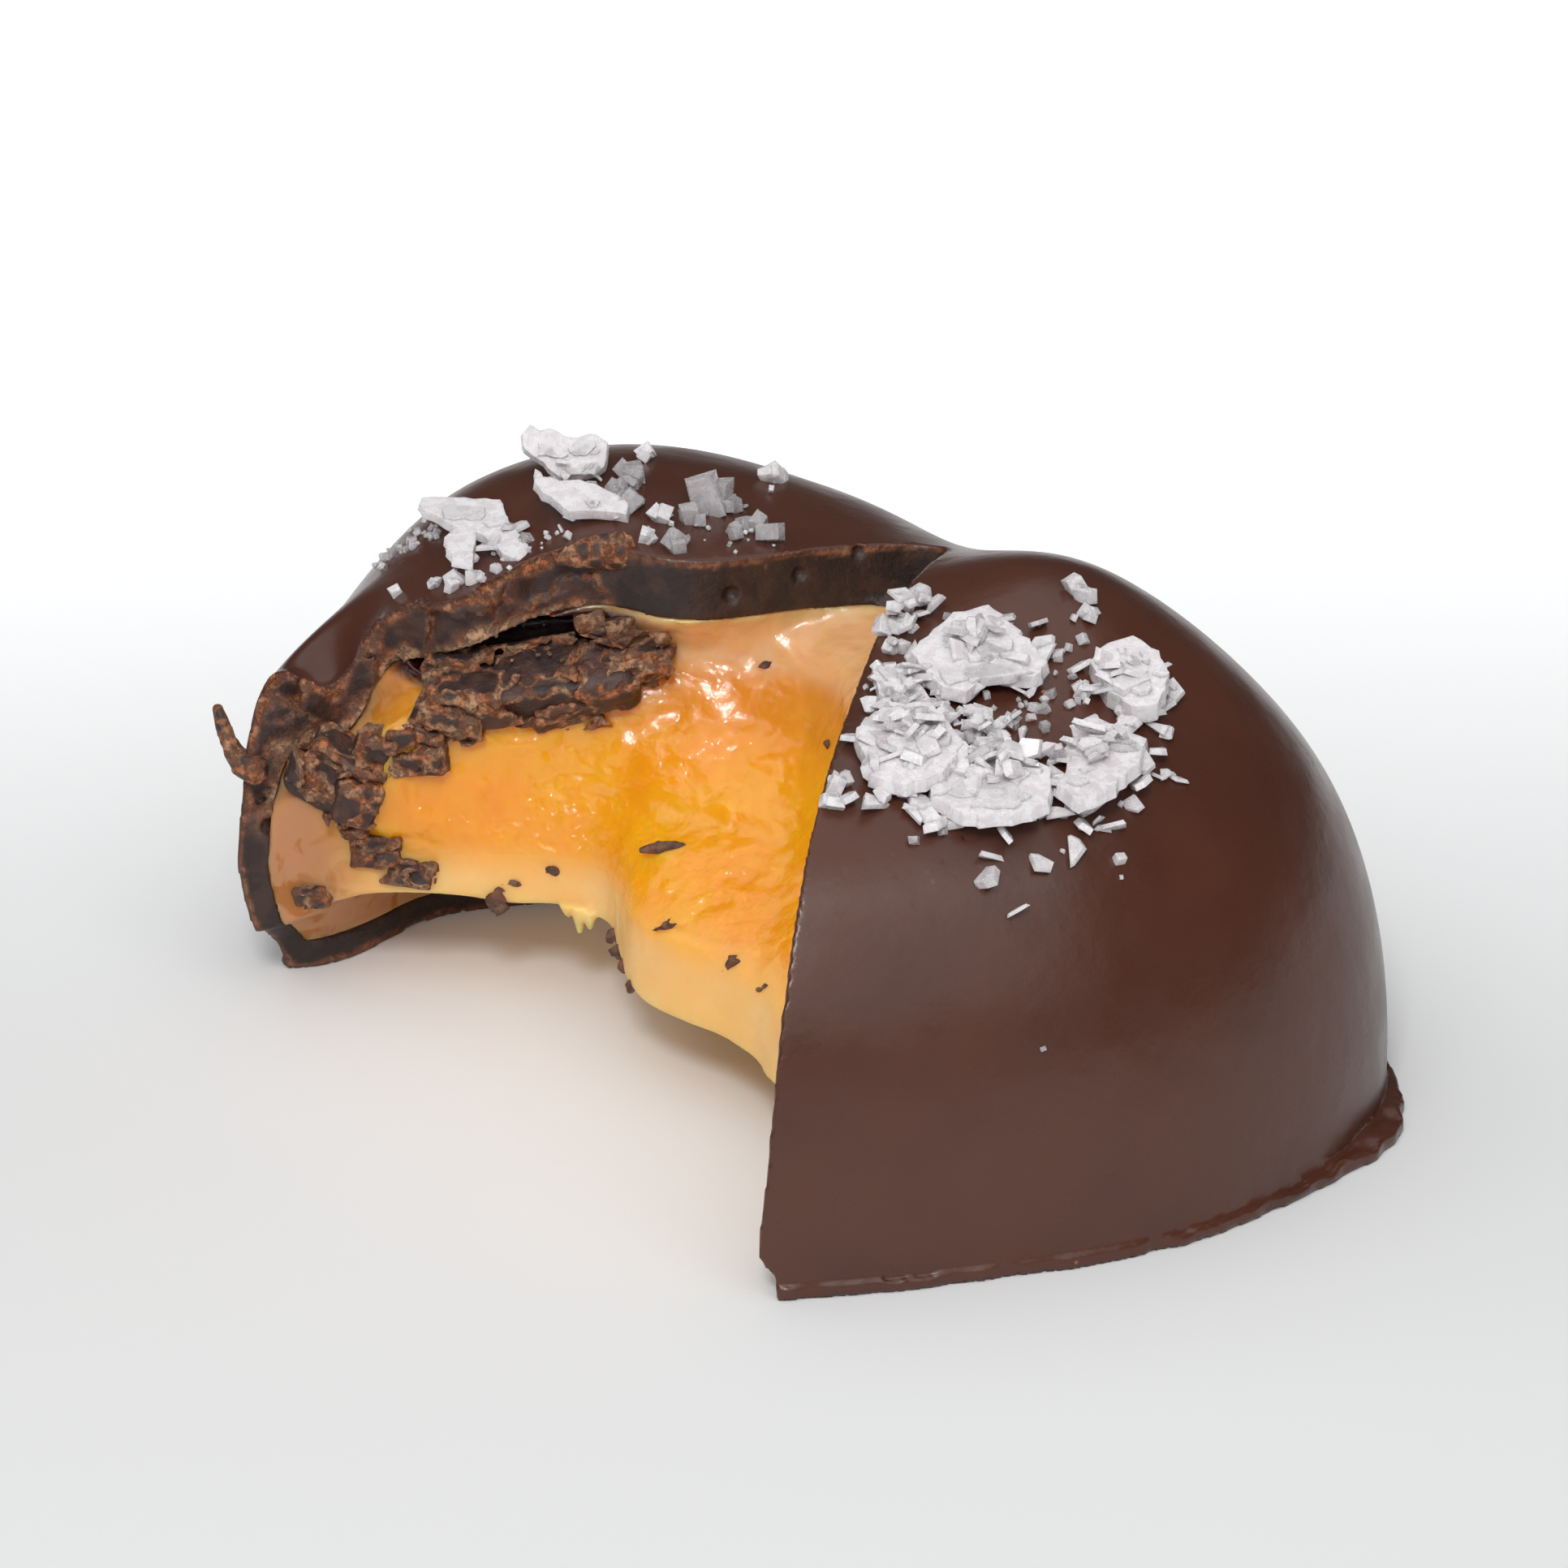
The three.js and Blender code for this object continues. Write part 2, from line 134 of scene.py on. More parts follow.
# Wet lumps of the caramel: where they start, then their depth where dry and where wet

WET_START_Z = (4.4, 5.6)
WET_START_X = (-13.2, -11.5)
DRY_LUMPS = 0.05
WET_LUMPS = 0.1
WET_CRUMBS = 0.06
WET_GRIT = 0.04

# Small broken pieces: how their plates are drawn out, their noise, and where crumbs and borders show

PLATY = np.array([0.55, 1.0, 1.25])
CHIP_MARGIN = 0.5
CHIP_STRAY = 0.22
CHIP_ROUNDING = 0.2
CHIP_NOISE = 0.07
CHIP_CRUMBLE = (0.25, 0.0)
CHIP_SEAM = (0.14, 0.03)
CHIP_CORNER = (0.7, 1.7)
STICK_SHARE = 0.15
SLOPE_STEP = 0.15
PLATE_LAYERS = 16
FLAKE_CORNERS = 7

# Pressed pieces of chocolate: middle, size, turn, tilt and roll in radians

SHARD = [
    ((-9.1, -1.95, 10.5), (6.2, 2.2, 1.25), 0.78, -0.14, 0.5),
    ((-7.7, -1.0, 10.05), (3.3, 1.2, 1.0), 0.8, -0.2, 0.6),
    ((-6.7, 0.2, 11.1), (1.7, 1.3, 1.1), 0.8, -0.1, 0.4),
    ((-10.6, -3.8, 9.7), (1.8, 1.2, 1.0), 0.6, 0.3, 0.2),
]
CHUNK = [
    ((-13.4, -6.0, 7.7), (2.2, 1.6, 2.0), 0.5, 0.5, 0.2),
    ((-12.7, -6.0, 6.9), (1.3, 1.1, 1.4), 0.9, 0.3, 0.1),
]

# Loose crumbs and flat specks of chocolate on the caramel: middle and size

CRUMBS = [
    ((-12.2, -5.6, 8.5), (1.1, 1.0, 1.3)), ((-11.2, -4.7, 8.3), (1.6, 1.0, 0.9)),
    ((-11.0, -4.5, 9.2), (1.2, 0.8, 0.6)), ((-11.6, -5.0, 8.9), (0.8, 0.7, 0.6)),
    ((-10.3, -3.7, 9.3), (1.1, 0.7, 0.6)), ((-12.4, -5.6, 7.7), (0.9, 0.8, 0.7)),
    ((-13.6, -6.6, 7.0), (0.9, 0.8, 0.6)), ((-12.9, -6.2, 6.4), (1.1, 0.8, 0.6)),
    ((-12.8, -6.0, 5.7), (0.7, 0.6, 0.6)), ((-12.6, -5.6, 5.0), (1.0, 0.6, 1.1)),
    ((-12.2, -5.2, 4.7), (0.6, 0.5, 0.5)), ((-11.6, -4.8, 4.35), (1.6, 0.6, 0.9)),
    ((-11.9, -5.1, 5.2), (0.4, 0.4, 0.4)), ((-14.1, -6.7, 3.5), (1.0, 0.35, 0.6)),
    ((-6.5, 0.5, 11.0), (0.9, 0.7, 0.9)), ((-6.9, 0.1, 12.35), (1.3, 0.8, 0.6)),
    ((-7.6, -0.5, 12.05), (1.5, 0.8, 0.55)), ((-8.2, -1.05, 11.95), (0.7, 0.6, 0.4)),
    ((-6.2, 0.7, 11.8), (0.8, 0.7, 0.9)),
]
SPECKS = [
    ((-3.6, -1.85, 6.5), (1.5, 0.3, 0.45)), ((-7.9, -2.3, 4.6), (0.45, 0.2, 0.3)),
    ((-8.9, -3.0, 4.1), (0.5, 0.2, 0.22)), ((-9.3, -3.4, 3.1), (0.8, 0.3, 0.9)),
    ((-5.6, -2.4, 3.1), (0.6, 0.25, 0.5)), ((-4.9, -2.95, 2.85), (0.5, 0.25, 0.6)),
    ((-4.2, -3.45, 2.8), (0.4, 0.25, 0.6)), ((-3.3, -4.15, 2.7), (0.4, 0.25, 0.5)),
    ((-1.7, -3.7, 5.1), (0.7, 0.2, 0.4)), ((1.0, -4.1, 4.8), (0.8, 0.2, 0.5)),
    ((2.6, -4.5, 4.7), (0.4, 0.2, 0.35)), ((0.0, 1.6, 9.8), (0.45, 0.3, 0.4)),
    ((-3.5, 2.6, 11.2), (0.4, 0.3, 0.25)),
]

# Strands that stick out of the broken lid: the curl at its left tip and the spur at its middle

STRANDS = [
    [((-15.6, -7.5, 7.6), 0.5), ((-15.95, -7.65, 7.75), 0.42), ((-16.25, -7.76, 8.05), 0.33),
     ((-16.45, -7.76, 8.45), 0.27), ((-16.6, -7.74, 8.85), 0.24), ((-16.85, -7.7, 9.3), 0.16)],
    [((-7.2, 0.0, 14.75), 0.6), ((-7.6, -0.45, 14.75), 0.52), ((-8.0, -0.9, 14.65), 0.4),
     ((-8.35, -1.25, 14.45), 0.2)],
]

# Salt plates: place on the dome, lift, lean towards the viewer, thickness, outline across and up

PLATES = [
    ((-11.6, -1.3), 0.55, 0.21, 0.3,
     [(-1.99, 1.73), (-0.81, 1.73), (0.54, 1.6), (0.68, 1.07), (0.86, 0.31), (1.13, -0.24),
      (1.62, -1.34), (1.26, -1.97), (0.72, -1.57), (0.45, -0.94), (-0.18, -0.31), (-0.2, -2.04),
      (-0.86, -1.81), (-1.16, -0.63), (-0.77, -0.03), (-1.35, 0.55), (-1.9, 0.94)]),
    ((-11.2, 2.4), 0.7, 0.78, 0.3,
     [(-1.62, 0.68), (-1.35, 1.02), (-1.04, 0.78), (-0.72, 0.88), (0, 0.54), (0.54, 0.68),
      (1.13, 0.39), (1.04, -0.49), (0.81, -0.68), (0.45, -0.78), (-0.36, -0.88), (-0.9, -0.34),
      (-1.26, -0.1), (-1.58, 0.29)]),
    ((-9.3, 0.9), 0.4, 0.35, 0.32,
     [(-1.62, 1.32), (-1.35, 0.93), (-0.81, 0.73), (-0.18, 0.79), (0.54, 0.4), (1.08, 0),
      (1.4, -0.46), (1.35, -0.93), (0.36, -0.73), (-0.45, -0.79), (-0.9, -0.26), (-1.35, 0.13),
      (-1.62, 0.66)]),
    ((6.9, 0.3), 0.5, 0.26, 0.4,
     [(-2.1, -0.13), (-1.4, 1.01), (-0.78, 1.89), (0.31, 2.27), (1.01, 1.26), (1.71, 0),
      (2.02, -0.63), (1.56, -1.39), (0.16, -1.26), (-0.47, -2.15), (-1.17, -1.89), (-1.71, -1.01)]),
    ((10.4, 2.9), 0.5, 0.35, 0.6,
     [(-1.17, 0.46), (-0.62, 1.25), (0.16, 1.6), (0.93, 0.91), (1.17, -0.23), (0.78, -1.48),
      (0, -1.6), (-0.78, -0.68)]),
    ((8.2, -4.5), 0.4, 0.26, 0.4,
     [(-1.56, 0.38), (-0.78, 1.64), (0.7, 1.89), (1.32, 0.63), (1.63, -0.13), (1.01, -1.51),
      (-0.08, -2.15), (-1.17, -1.64)]),
    ((10.8, -3.9), 0.4, 0.2, 0.4,
     [(-1.17, 1.51), (0.08, 1.77), (1.17, 1.39), (1.79, 0.63), (1.63, -1.01), (0.54, -1.64),
      (-0.86, -1.64), (-1.79, -0.76), (-1.79, 0.5)]),
    ((12.0, -0.5), 0.4, 0.1, 0.4,
     [(-0.86, 2.53), (-0.23, 2.78), (0.54, 1.77), (1.48, 1.01), (1.17, -0.5), (0.23, -2.0),
      (-0.7, -2.8), (-1.32, -1.8), (-0.86, -0.25), (-0.7, 1.0)]),
    ((6.0, -2.3), 0.3, 0.2, 0.35,
     [(-0.78, 1.14), (0.31, 0.76), (0.93, -0.76), (0, -1.14), (-0.62, -0.5)]),
]

# Salt grains: place on the dome and size, first the white ones, then the clear ones

WHITE_GRAINS = [
    (-8.6, -0.3, 0.5), (-6.2, -0.9, 0.75), (-11.8, -3.2, 0.6), (-10.7, -3.3, 0.8), (-13.1, -3.5, 0.5),
    (-10.4, 4.9, 0.75), (-7.4, 7.4, 0.8), (-6.9, 7.6, 0.5), (-6.5, 6.5, 0.35), (-6.6, 0.8, 0.65),
    (-7.0, 2.1, 0.6), (-10.2, -3.0, 0.6), (-9.9, -2.7, 0.5), (2.4, 2.1, 1.0), (3.3, 0.8, 0.9),
    (4.0, -0.3, 1.0), (4.7, -1.3, 0.8), (7.1, 5.0, 0.8), (8.0, 4.4, 0.7), (7.6, -6.9, 0.8),
    (8.1, -7.7, 0.7), (9.6, 1.6, 0.7), (8.9, -2.2, 0.7), (7.3, -2.7, 0.6),
]
CLEAR_GRAINS = [
    (-9.8, 3.0, 1.1), (-9.3, 2.9, 0.9), (-9.2, 2.1, 0.8), (-8.3, 1.9, 0.9), (-5.7, 1.0, 0.8),
    (-6.9, 3.8, 1.5), (-6.3, 4.3, 0.7), (-5.1, 3.9, 0.8), (-4.3, 3.6, 0.85), (-4.9, 2.9, 0.6),
    (-6.2, 2.9, 0.9), (-10.1, -1.0, 0.5),
]

# Heaps of small salt flakes: middle, how far they spread, how many and how large

HEAPS = [
    ((8.2, -4.3), (0.9, 1.2), 70, 1.3), ((10.9, -3.4), (0.9, 1.0), 60, 1.2),
    ((12.0, -0.6), (0.7, 1.3), 60, 1.2), ((6.7, 0.3), (0.9, 1.1), 60, 1.25),
    ((10.4, 2.8), (0.6, 0.8), 34, 1.1), ((6.4, -2.6), (0.6, 0.8), 34, 1.1),
    ((9.3, -2.6), (1.0, 0.7), 26, 0.9), ((3.4, 0.6), (0.6, 0.9), 22, 1.0),
    ((-11.5, -1.5), (0.7, 0.5), 9, 0.8), ((-10.6, 2.0), (0.8, 0.6), 12, 0.9),
    ((-9.1, 0.8), (0.6, 0.4), 6, 0.7),
]
HEAP_HEIGHT = 1.1

# Loose fine grains round the salt: middle, how far they spread, how many and how large

DUST = [
    ((-15.3, -0.6), (0.9, 0.5), 40, 0.28), ((-9.7, -1.1), (0.5, 0.7), 16, 0.22),
    ((-6.0, 2.7), (1.6, 1.0), 30, 0.2), ((8.7, -1.4), (2.6, 2.6), 110, 0.34),
    ((-11.4, -2.8), (1.2, 0.7), 16, 0.2),
]

# Sampling grid of the solid shapes

STEP = 0.11
LOW = np.array([-22.0, -14.0, -0.4])
HIGH = np.array([18.4, 16.0, 16.4])
AXES = [np.arange(LOW[i], HIGH[i], STEP, dtype=np.float32) for i in range(3)]
BAND = 3.0
CHIP_STEP = 0.06
FAR_OFF = 50
FLATNESS = 0.0015

# View of the photograph

PHOTO_SIDE = 1932
FOCAL_PIXELS = 8000.0
SENSOR = 36
DISTANCE = 195.0
ELEVATION = math.radians(23)
AZIMUTH = math.radians(41)
AIM = (-1.07, 0.0, 9.3)
PLAN_SHIFT = (1.0, 0.0)


# Camera

def from_view(x, y, z):
    """A point given in mm along the view's own right, forward and up, in metres in the frame."""
    plan_x = x * math.cos(AZIMUTH) - y * math.sin(AZIMUTH) + PLAN_SHIFT[0] + TO_ORIGIN[0]
    plan_y = x * math.sin(AZIMUTH) + y * math.cos(AZIMUTH) + PLAN_SHIFT[1] + TO_ORIGIN[1]
    return Vector((plan_x, plan_y, z)) * MM


def look_at(obj, place, target):
    """Puts a camera or light at a place and points it at the target."""
    obj.location = place
    obj.rotation_mode = "QUATERNION"
    obj.rotation_quaternion = (target - place).to_track_quat("-Z", "Y")


def make_camera():
    data = bpy.data.cameras.new("camera")
    camera = bpy.data.objects.new("camera", data)
    bpy.context.scene.collection.objects.link(camera)
    behind = AIM[1] - DISTANCE * math.cos(ELEVATION)
    above = AIM[2] + DISTANCE * math.sin(ELEVATION)
    look_at(camera, from_view(AIM[0], behind, above), from_view(*AIM))
    data.sensor_width = SENSOR
    data.lens = FOCAL_PIXELS / PHOTO_SIDE * SENSOR
    data.clip_start = 0.005
    data.clip_end = 5
    bpy.context.scene.camera = camera


make_camera()


# Shape helpers

def smooth(low, high, value):
    share = np.clip((value - low) / (high - low), 0, 1)
    return share * share * (3 - 2 * share)


def bell(offset, width):
    return np.exp(-((offset / width) ** 2))


def catmull(a, b, c, d, t):
    linear = c - a
    square = 2 * a - 5 * b + 4 * c - d
    cube = 3 * b - a - 3 * c + d
    return b + 0.5 * (linear * t + square * t * t + cube * t * t * t)


def around(values, angle):
    values = np.asarray(values, np.float32)
    count = len(values)
    turn = np.mod(angle / (2 * np.pi), 1) * count
    at = np.floor(turn).astype(int)
    pick = [values[(at + step) % count] for step in (-1, 0, 1, 2)]
    return catmull(*pick, turn - at)


def along(values, u):
    values = np.asarray(values, float)
    last = len(values) - 1
    at = np.minimum(np.floor(u * last).astype(int), last - 1)
    pick = [values[np.clip(at + step, 0, last)] for step in (-1, 0, 1, 2)]
    t = u * last - at
    return catmull(*pick, t[:, None] if values.ndim > 1 else t)


def crown_height(x, y):
    height = CROWN - LID_SINK * (1 - smooth(*LID_SINK_X, x)) * (1 - smooth(*LID_SINK_Y, y))
    for (at_x, at_y), rise, spread in SWELLS:
        height = height + rise * bell(np.hypot(x - at_x, y - at_y), math.sqrt(spread))
    return height


def dome_power(angle):
    return DOME_POWER + CORNER_POWER * bell(angle - CORNER_ANGLE, CORNER_WIDTH)


def dome_height(x, y):
    dx, dy = x - MIDDLE[0], y - MIDDLE[1]
    angle = np.mod(np.arctan2(dy, dx), 2 * np.pi)
    share = np.hypot(dx, dy) / around(WALL_RADII, angle)
    shoulder = np.clip(1 - share ** dome_power(angle), 0, 1) ** (1 / SHOULDER_POWER)
    return FOOT_HEIGHT + (crown_height(x, y) - FOOT_HEIGHT) * shoulder


def stretch(field, shape):
    """A coarse block of values blown up smoothly to a grid of the given shape."""
    for axis, count in enumerate(shape):
        place = np.linspace(0, field.shape[axis] - 1, count)
        at = np.minimum(place.astype(int), field.shape[axis] - 2)
        t = (place - at).astype(np.float32)
        t = t * t * (3 - 2 * t)
        sides = [1, 1, 1]
        sides[axis] = count
        near = np.take(field, at, axis)
        far = np.take(field, at + 1, axis)
        field = near + (far - near) * t.reshape(sides)
    return field


def linear_stretch(field, coarse, fine):
    """Values on coarse axes read off on fine axes."""
    for axis in range(3):
        place = (fine[axis] - coarse[axis][0]) / (coarse[axis][1] - coarse[axis][0])
        at = np.clip(place.astype(int), 0, field.shape[axis] - 2)
        t = (place - at).astype(np.float32)
        sides = [1, 1, 1]
        sides[axis] = len(t)
        near = np.take(field, at, axis)
        far = np.take(field, at + 1, axis)
        field = near + (far - near) * t.reshape(sides)
    return field


def noise_block(axes, size, seed):
    """Smooth random values from -1 to 1 on the grid, with lumps of the given size in mm."""
    random = np.random.default_rng(seed)
    cells = [max(2, int(math.ceil((axis[-1] - axis[0]) / size)) + 2) for axis in axes]
    lattice = random.uniform(-1, 1, cells).astype(np.float32)
    return stretch(lattice, [len(axis) for axis in axes])


def facets(points, size, seed, lean):
    """Broken steps at points: a tilted level for each cell of a mosaic, and the way to its edge."""
    random = np.random.default_rng(seed)
    cell = points / size
    low = np.floor(cell.min(0)).astype(int) - 1
    counts = np.floor(cell.max(0)).astype(int) + 2 - low
    middles = random.uniform(0.1, 0.9, (*counts, 3))
    levels = random.uniform(-1, 1, counts)
    slopes = random.normal(0, lean, (*counts, 3))
    cell = cell - low
    base = np.floor(cell).astype(int)
    first = np.full(len(points), 9.0)
    second = first.copy()
    value = np.zeros(len(points))
    for shift in itertools.product((-1, 0, 1), repeat=3):
        at = base + shift
        key = (at[:, 0], at[:, 1], at[:, 2])
        offset = cell - at - middles[key]
        square = (offset ** 2).sum(1)
        near = square < first
        second = np.where(near, first, np.minimum(second, square))
        first = np.where(near, square, first)
        value = np.where(near, levels[key] + (slopes[key] * offset).sum(1), value)
    return value, (np.sqrt(second) - np.sqrt(first)) * size


def polygon_distance(points, ring):
    """Signed distance from points in a plane to a closed ring of corners: negative inside."""
    ring = np.asarray(ring, np.float32)
    best = np.full(len(points), 1e9, np.float32)
    inside = np.zeros(len(points), bool)
    for a, b in zip(ring, np.roll(ring, -1, axis=0)):
        edge = b - a
        square = max(float(edge @ edge), 1e-9)
        offset = points - a
        share = np.clip((offset @ edge) / square, 0, 1)
        best = np.minimum(best, ((offset - share[:, None] * edge) ** 2).sum(1))
        crosses = (a[1] > points[:, 1]) != (b[1] > points[:, 1])
        if crosses.any():
            at = (b[0] - a[0]) * (points[:, 1] - a[1]) / (b[1] - a[1]) + a[0]
            inside ^= crosses & (points[:, 0] < at)
    distance = np.sqrt(best)
    return np.where(inside, -distance, distance)


def spin(turn, tilt, roll):
    """Rotation about x by the roll, then y by the tilt, then z by the turn."""
    ct, st = math.cos(turn), math.sin(turn)
    ci, si = math.cos(tilt), math.sin(tilt)
    cr, sr = math.cos(roll), math.sin(roll)
    about_z = np.array([[ct, -st, 0], [st, ct, 0], [0, 0, 1]])
    about_y = np.array([[ci, 0, si], [0, 1, 0], [-si, 0, ci]])
    about_x = np.array([[1, 0, 0], [0, cr, -sr], [0, sr, cr]])
    return about_z @ about_y @ about_x


def block_distance(points, size):
    """Signed distance from points to a block round the origin with rounded edges."""
    rounding = min(size) * CHIP_ROUNDING
    reach = np.abs(points) - np.asarray(size) / 2 + rounding
    outside_part = np.sqrt((np.clip(reach, 0, None) ** 2).sum(1))
    return outside_part + np.minimum(reach.max(1), 0) - rounding


def window(middle, reach):
    """The part of the grid round a point, and the way from that point to each place in it."""
    parts = []
    for at, axis in zip(middle, AXES):
        first = max(0, int((at - reach - axis[0]) / STEP))
        parts.append(slice(first, int((at + reach - axis[0]) / STEP) + 2))
    ways = [axis[part] - at for axis, part, at in zip(AXES, parts, middle)]
    return tuple(parts), np.stack(np.meshgrid(*ways, indexing="ij"), -1)


class Dome:
    """Signed distance, in mm, to the whole candy's dome or to an inner layer of it."""

    def __init__(self, inset, drop, low):
        x, y = np.meshgrid(AXES[0], AXES[1], indexing="ij")
        dx, dy = x - MIDDLE[0], y - MIDDLE[1]
        self.angle = np.mod(np.arctan2(dy, dx), 2 * np.pi)
        self.radius = np.hypot(dx, dy)
        self.wall = around(WALL_RADII, self.angle) - inset
        self.low = low
        height = crown_height(x, y) - drop - low
        self.plan = np.minimum(self.radius / self.wall, 1.6) ** dome_power(self.angle)
        self.rise = height ** -SHOULDER_POWER
        near = TUCK * bell(self.angle - TUCK_ANGLE, TUCK_WIDTH)[:, :, None]
        self.tuck = near * np.clip(1 - AXES[2] / TUCK_HEIGHT, 0, 1)[None, None, :] ** 2

    def distance(self):
        above = np.clip(AXES[2] - self.low, 0, None)
        climb = (above ** SHOULDER_POWER)[None, None, :]
        slope = (SHOULDER_POWER * above ** (SHOULDER_POWER - 1))[None, None, :]
        value = self.plan[:, :, None] + self.rise[:, :, None] * climb - 1
        steep = (self.rise[:, :, None] * slope) ** 2
        for axis in (0, 1):
            plan = np.gradient(self.plan, STEP, axis=axis)[:, :, None]
            rise = np.gradient(self.rise, STEP, axis=axis)[:, :, None]
            steep = steep + (plan + rise * climb) ** 2
        value = value / np.sqrt(steep + 1e-4)
        tucked = (self.radius - self.wall)[:, :, None] + self.tuck
        tucked = np.where(self.tuck > 0.01, tucked, -99)
        return np.maximum(value, tucked).astype(np.float32)

    def foot(self, fray):
        """Distance to the thin foot where the coating ran out, frayed at one corner."""
        reach = FOOT_REACH + FOOT_FRAY * bell(self.angle - FOOT_FRAY_ANGLE, FOOT_FRAY_WIDTH)
        side = (self.radius - self.wall - reach)[:, :, None] + self.tuck + 0.12 * fray
        top = AXES[2][None, None, :] - 0.45 - 0.1 * fray
        return np.maximum(side, top).astype(np.float32)


def bite_lines(count):
    """The bitten face as upright lines of points, from the bite's left end to its right."""
    u = np.linspace(0, 1, count)
    rim, face, lip, under = (along(path, u) for path in (RIM, FACE, LIP, UNDER))
    lid, ledge, ridge, edge = (along(h, u) for h in (LID_UNDERSIDE, LEDGE, RIDGE, LIP_HEIGHT))

    def mix(a, b, t):
        return a + (b - a) * t

    full = np.ones(count)
    knots = [
        (rim, full * BITE_TOP),
        (rim, lid + LID),
        (rim, lid),
        (mix(rim, face, LEDGE_SHARE), ledge + LEDGE_SLOPE[0]),
        (face, ledge + LEDGE_SLOPE[1]),
        *((mix(face, lip, out), mix(ledge, ridge, down)) for out, down in FACE_KNOTS),
        (lip, edge),
        *((mix(lip, under, out), edge * height) for out, height in UNDER_KNOTS),
        (under, full * UNDER_FOOT),
        (under, full * BITE_BOTTOM),
    ]
    return np.stack([np.column_stack([plan, z]) for plan, z in knots], axis=1)


def bite_distance(axes):
    """Signed distance, in mm, to what the teeth took away: negative inside it."""
    lines = bite_lines(BITE_STATIONS)
    far = np.linspace(BITE_FAR[1], BITE_FAR[0], 3)
    x, y = np.meshgrid(axes[0], axes[1], indexing="ij")
    points = np.stack([x.ravel(), y.ravel()], 1).astype(np.float32)
    field = np.empty((len(axes[0]), len(axes[1]), len(axes[2])), np.float32)
    for level, z in enumerate(axes[2]):
        path = np.empty((BITE_STATIONS, 2))
        for station in range(BITE_STATIONS):
            line = lines[station][::-1]
            path[station] = [np.interp(z, line[:, 2], line[:, axis]) for axis in (0, 1)]
        ring = np.vstack([path, far])
        field[:, :, level] = polygon_distance(points, ring).reshape(x.shape)
    gaps = [axis[1] - axis[0] for axis in axes]
    steep = np.sqrt(sum(g ** 2 for g in np.gradient(field, *gaps)))
    return field / np.maximum(steep, 1.0)


# Meshes

def surface(field, axes, adaptivity):
    """Corners in mm and faces of the surface where the field is zero."""
    step = float(axes[0][1] - axes[0][0])
    grid = openvdb.FloatGrid(BAND * step)
    grid.copyFromArray(np.clip(field, -BAND * step, BAND * step).astype(np.float32))
    points, triangles, quads = grid.convertToPolygons(0.0, adaptivity)
    places = points * step + np.array([axis[0] for axis in axes])
    return places, [f[::-1] for f in triangles.tolist() + quads.tolist()]


def read_field(field, axes, places):
    """Field values at places, in mm."""
    step = float(axes[0][1] - axes[0][0])
    at = [(places[:, i] - axes[i][0]) / step for i in range(3)]
    base = [np.clip(a.astype(int), 0, field.shape[i] - 2) for i, a in enumerate(at)]
    share = [a - b for a, b in zip(at, base)]
    total = np.zeros(len(places))
    for corner in range(8):
        bits = [(corner >> i) & 1 for i in range(3)]
        weight = np.ones(len(places))
        for i in range(3):
            weight = weight * (share[i] if bits[i] else 1 - share[i])
        total += weight * field[base[0] + bits[0], base[1] + bits[1], base[2] + bits[2]]
    return total


def sharpness(field, axes, places, reach):
    """How sharply the surface sticks out at places: 0 where flat or hollow."""
    total = -6 * read_field(field, axes, places)
    for axis in range(3):
        for way in (-reach, reach):
            step = np.zeros(3)
            step[axis] = way
            total += read_field(field, axes, places + step)
    return total / reach


class Pile:
    """Many small solids gathered for one mesh, with values per corner."""

    def __init__(self):
        self.points = []
        self.faces = []
        self.values = {}
        self.count = 0

    def add(self, points, faces, **values):
        self.points.append(points)
        self.faces += [[i + self.count for i in face] for face in faces]
        self.count += len(points)
        for name, value in values.items():
            self.values.setdefault(name, []).append(np.broadcast_to(value, len(points)))

    def make(self, name, material, smooth_faces=True):
        places = (np.vstack(self.points) + TO_ORIGIN) * MM
        mesh = bpy.data.meshes.new(name)
        mesh.from_pydata(places.tolist(), [], self.faces)
        mesh.validate()
        mesh.update()
        for key, parts in self.values.items():
            attribute = mesh.attributes.new(key, "FLOAT", "POINT")
            attribute.data.foreach_set("value", np.concatenate(parts).astype(np.float32))
        if smooth_faces:
            mesh.shade_smooth()
        mesh.materials.append(material)
        obj = bpy.data.objects.new(name, mesh)
        bpy.context.scene.collection.objects.link(obj)
        return obj


def local_grid(half, step):
    """Axes and places of a small grid round the origin."""
    axes = [np.arange(-h, h + step, step) for h in half]
    block = np.stack(np.meshgrid(*axes, indexing="ij"), -1)
    return axes, block


def lens_distance(points, size):
    """About the signed distance from points to a lens round the origin, pointed at its two ends."""
    reach = np.abs(points) / (np.asarray(size) / 2)
    return (reach[:, 0] ** 1.3 + reach[:, 1] ** 2 + reach[:, 2] ** 1.6 - 1) * min(size) / 3


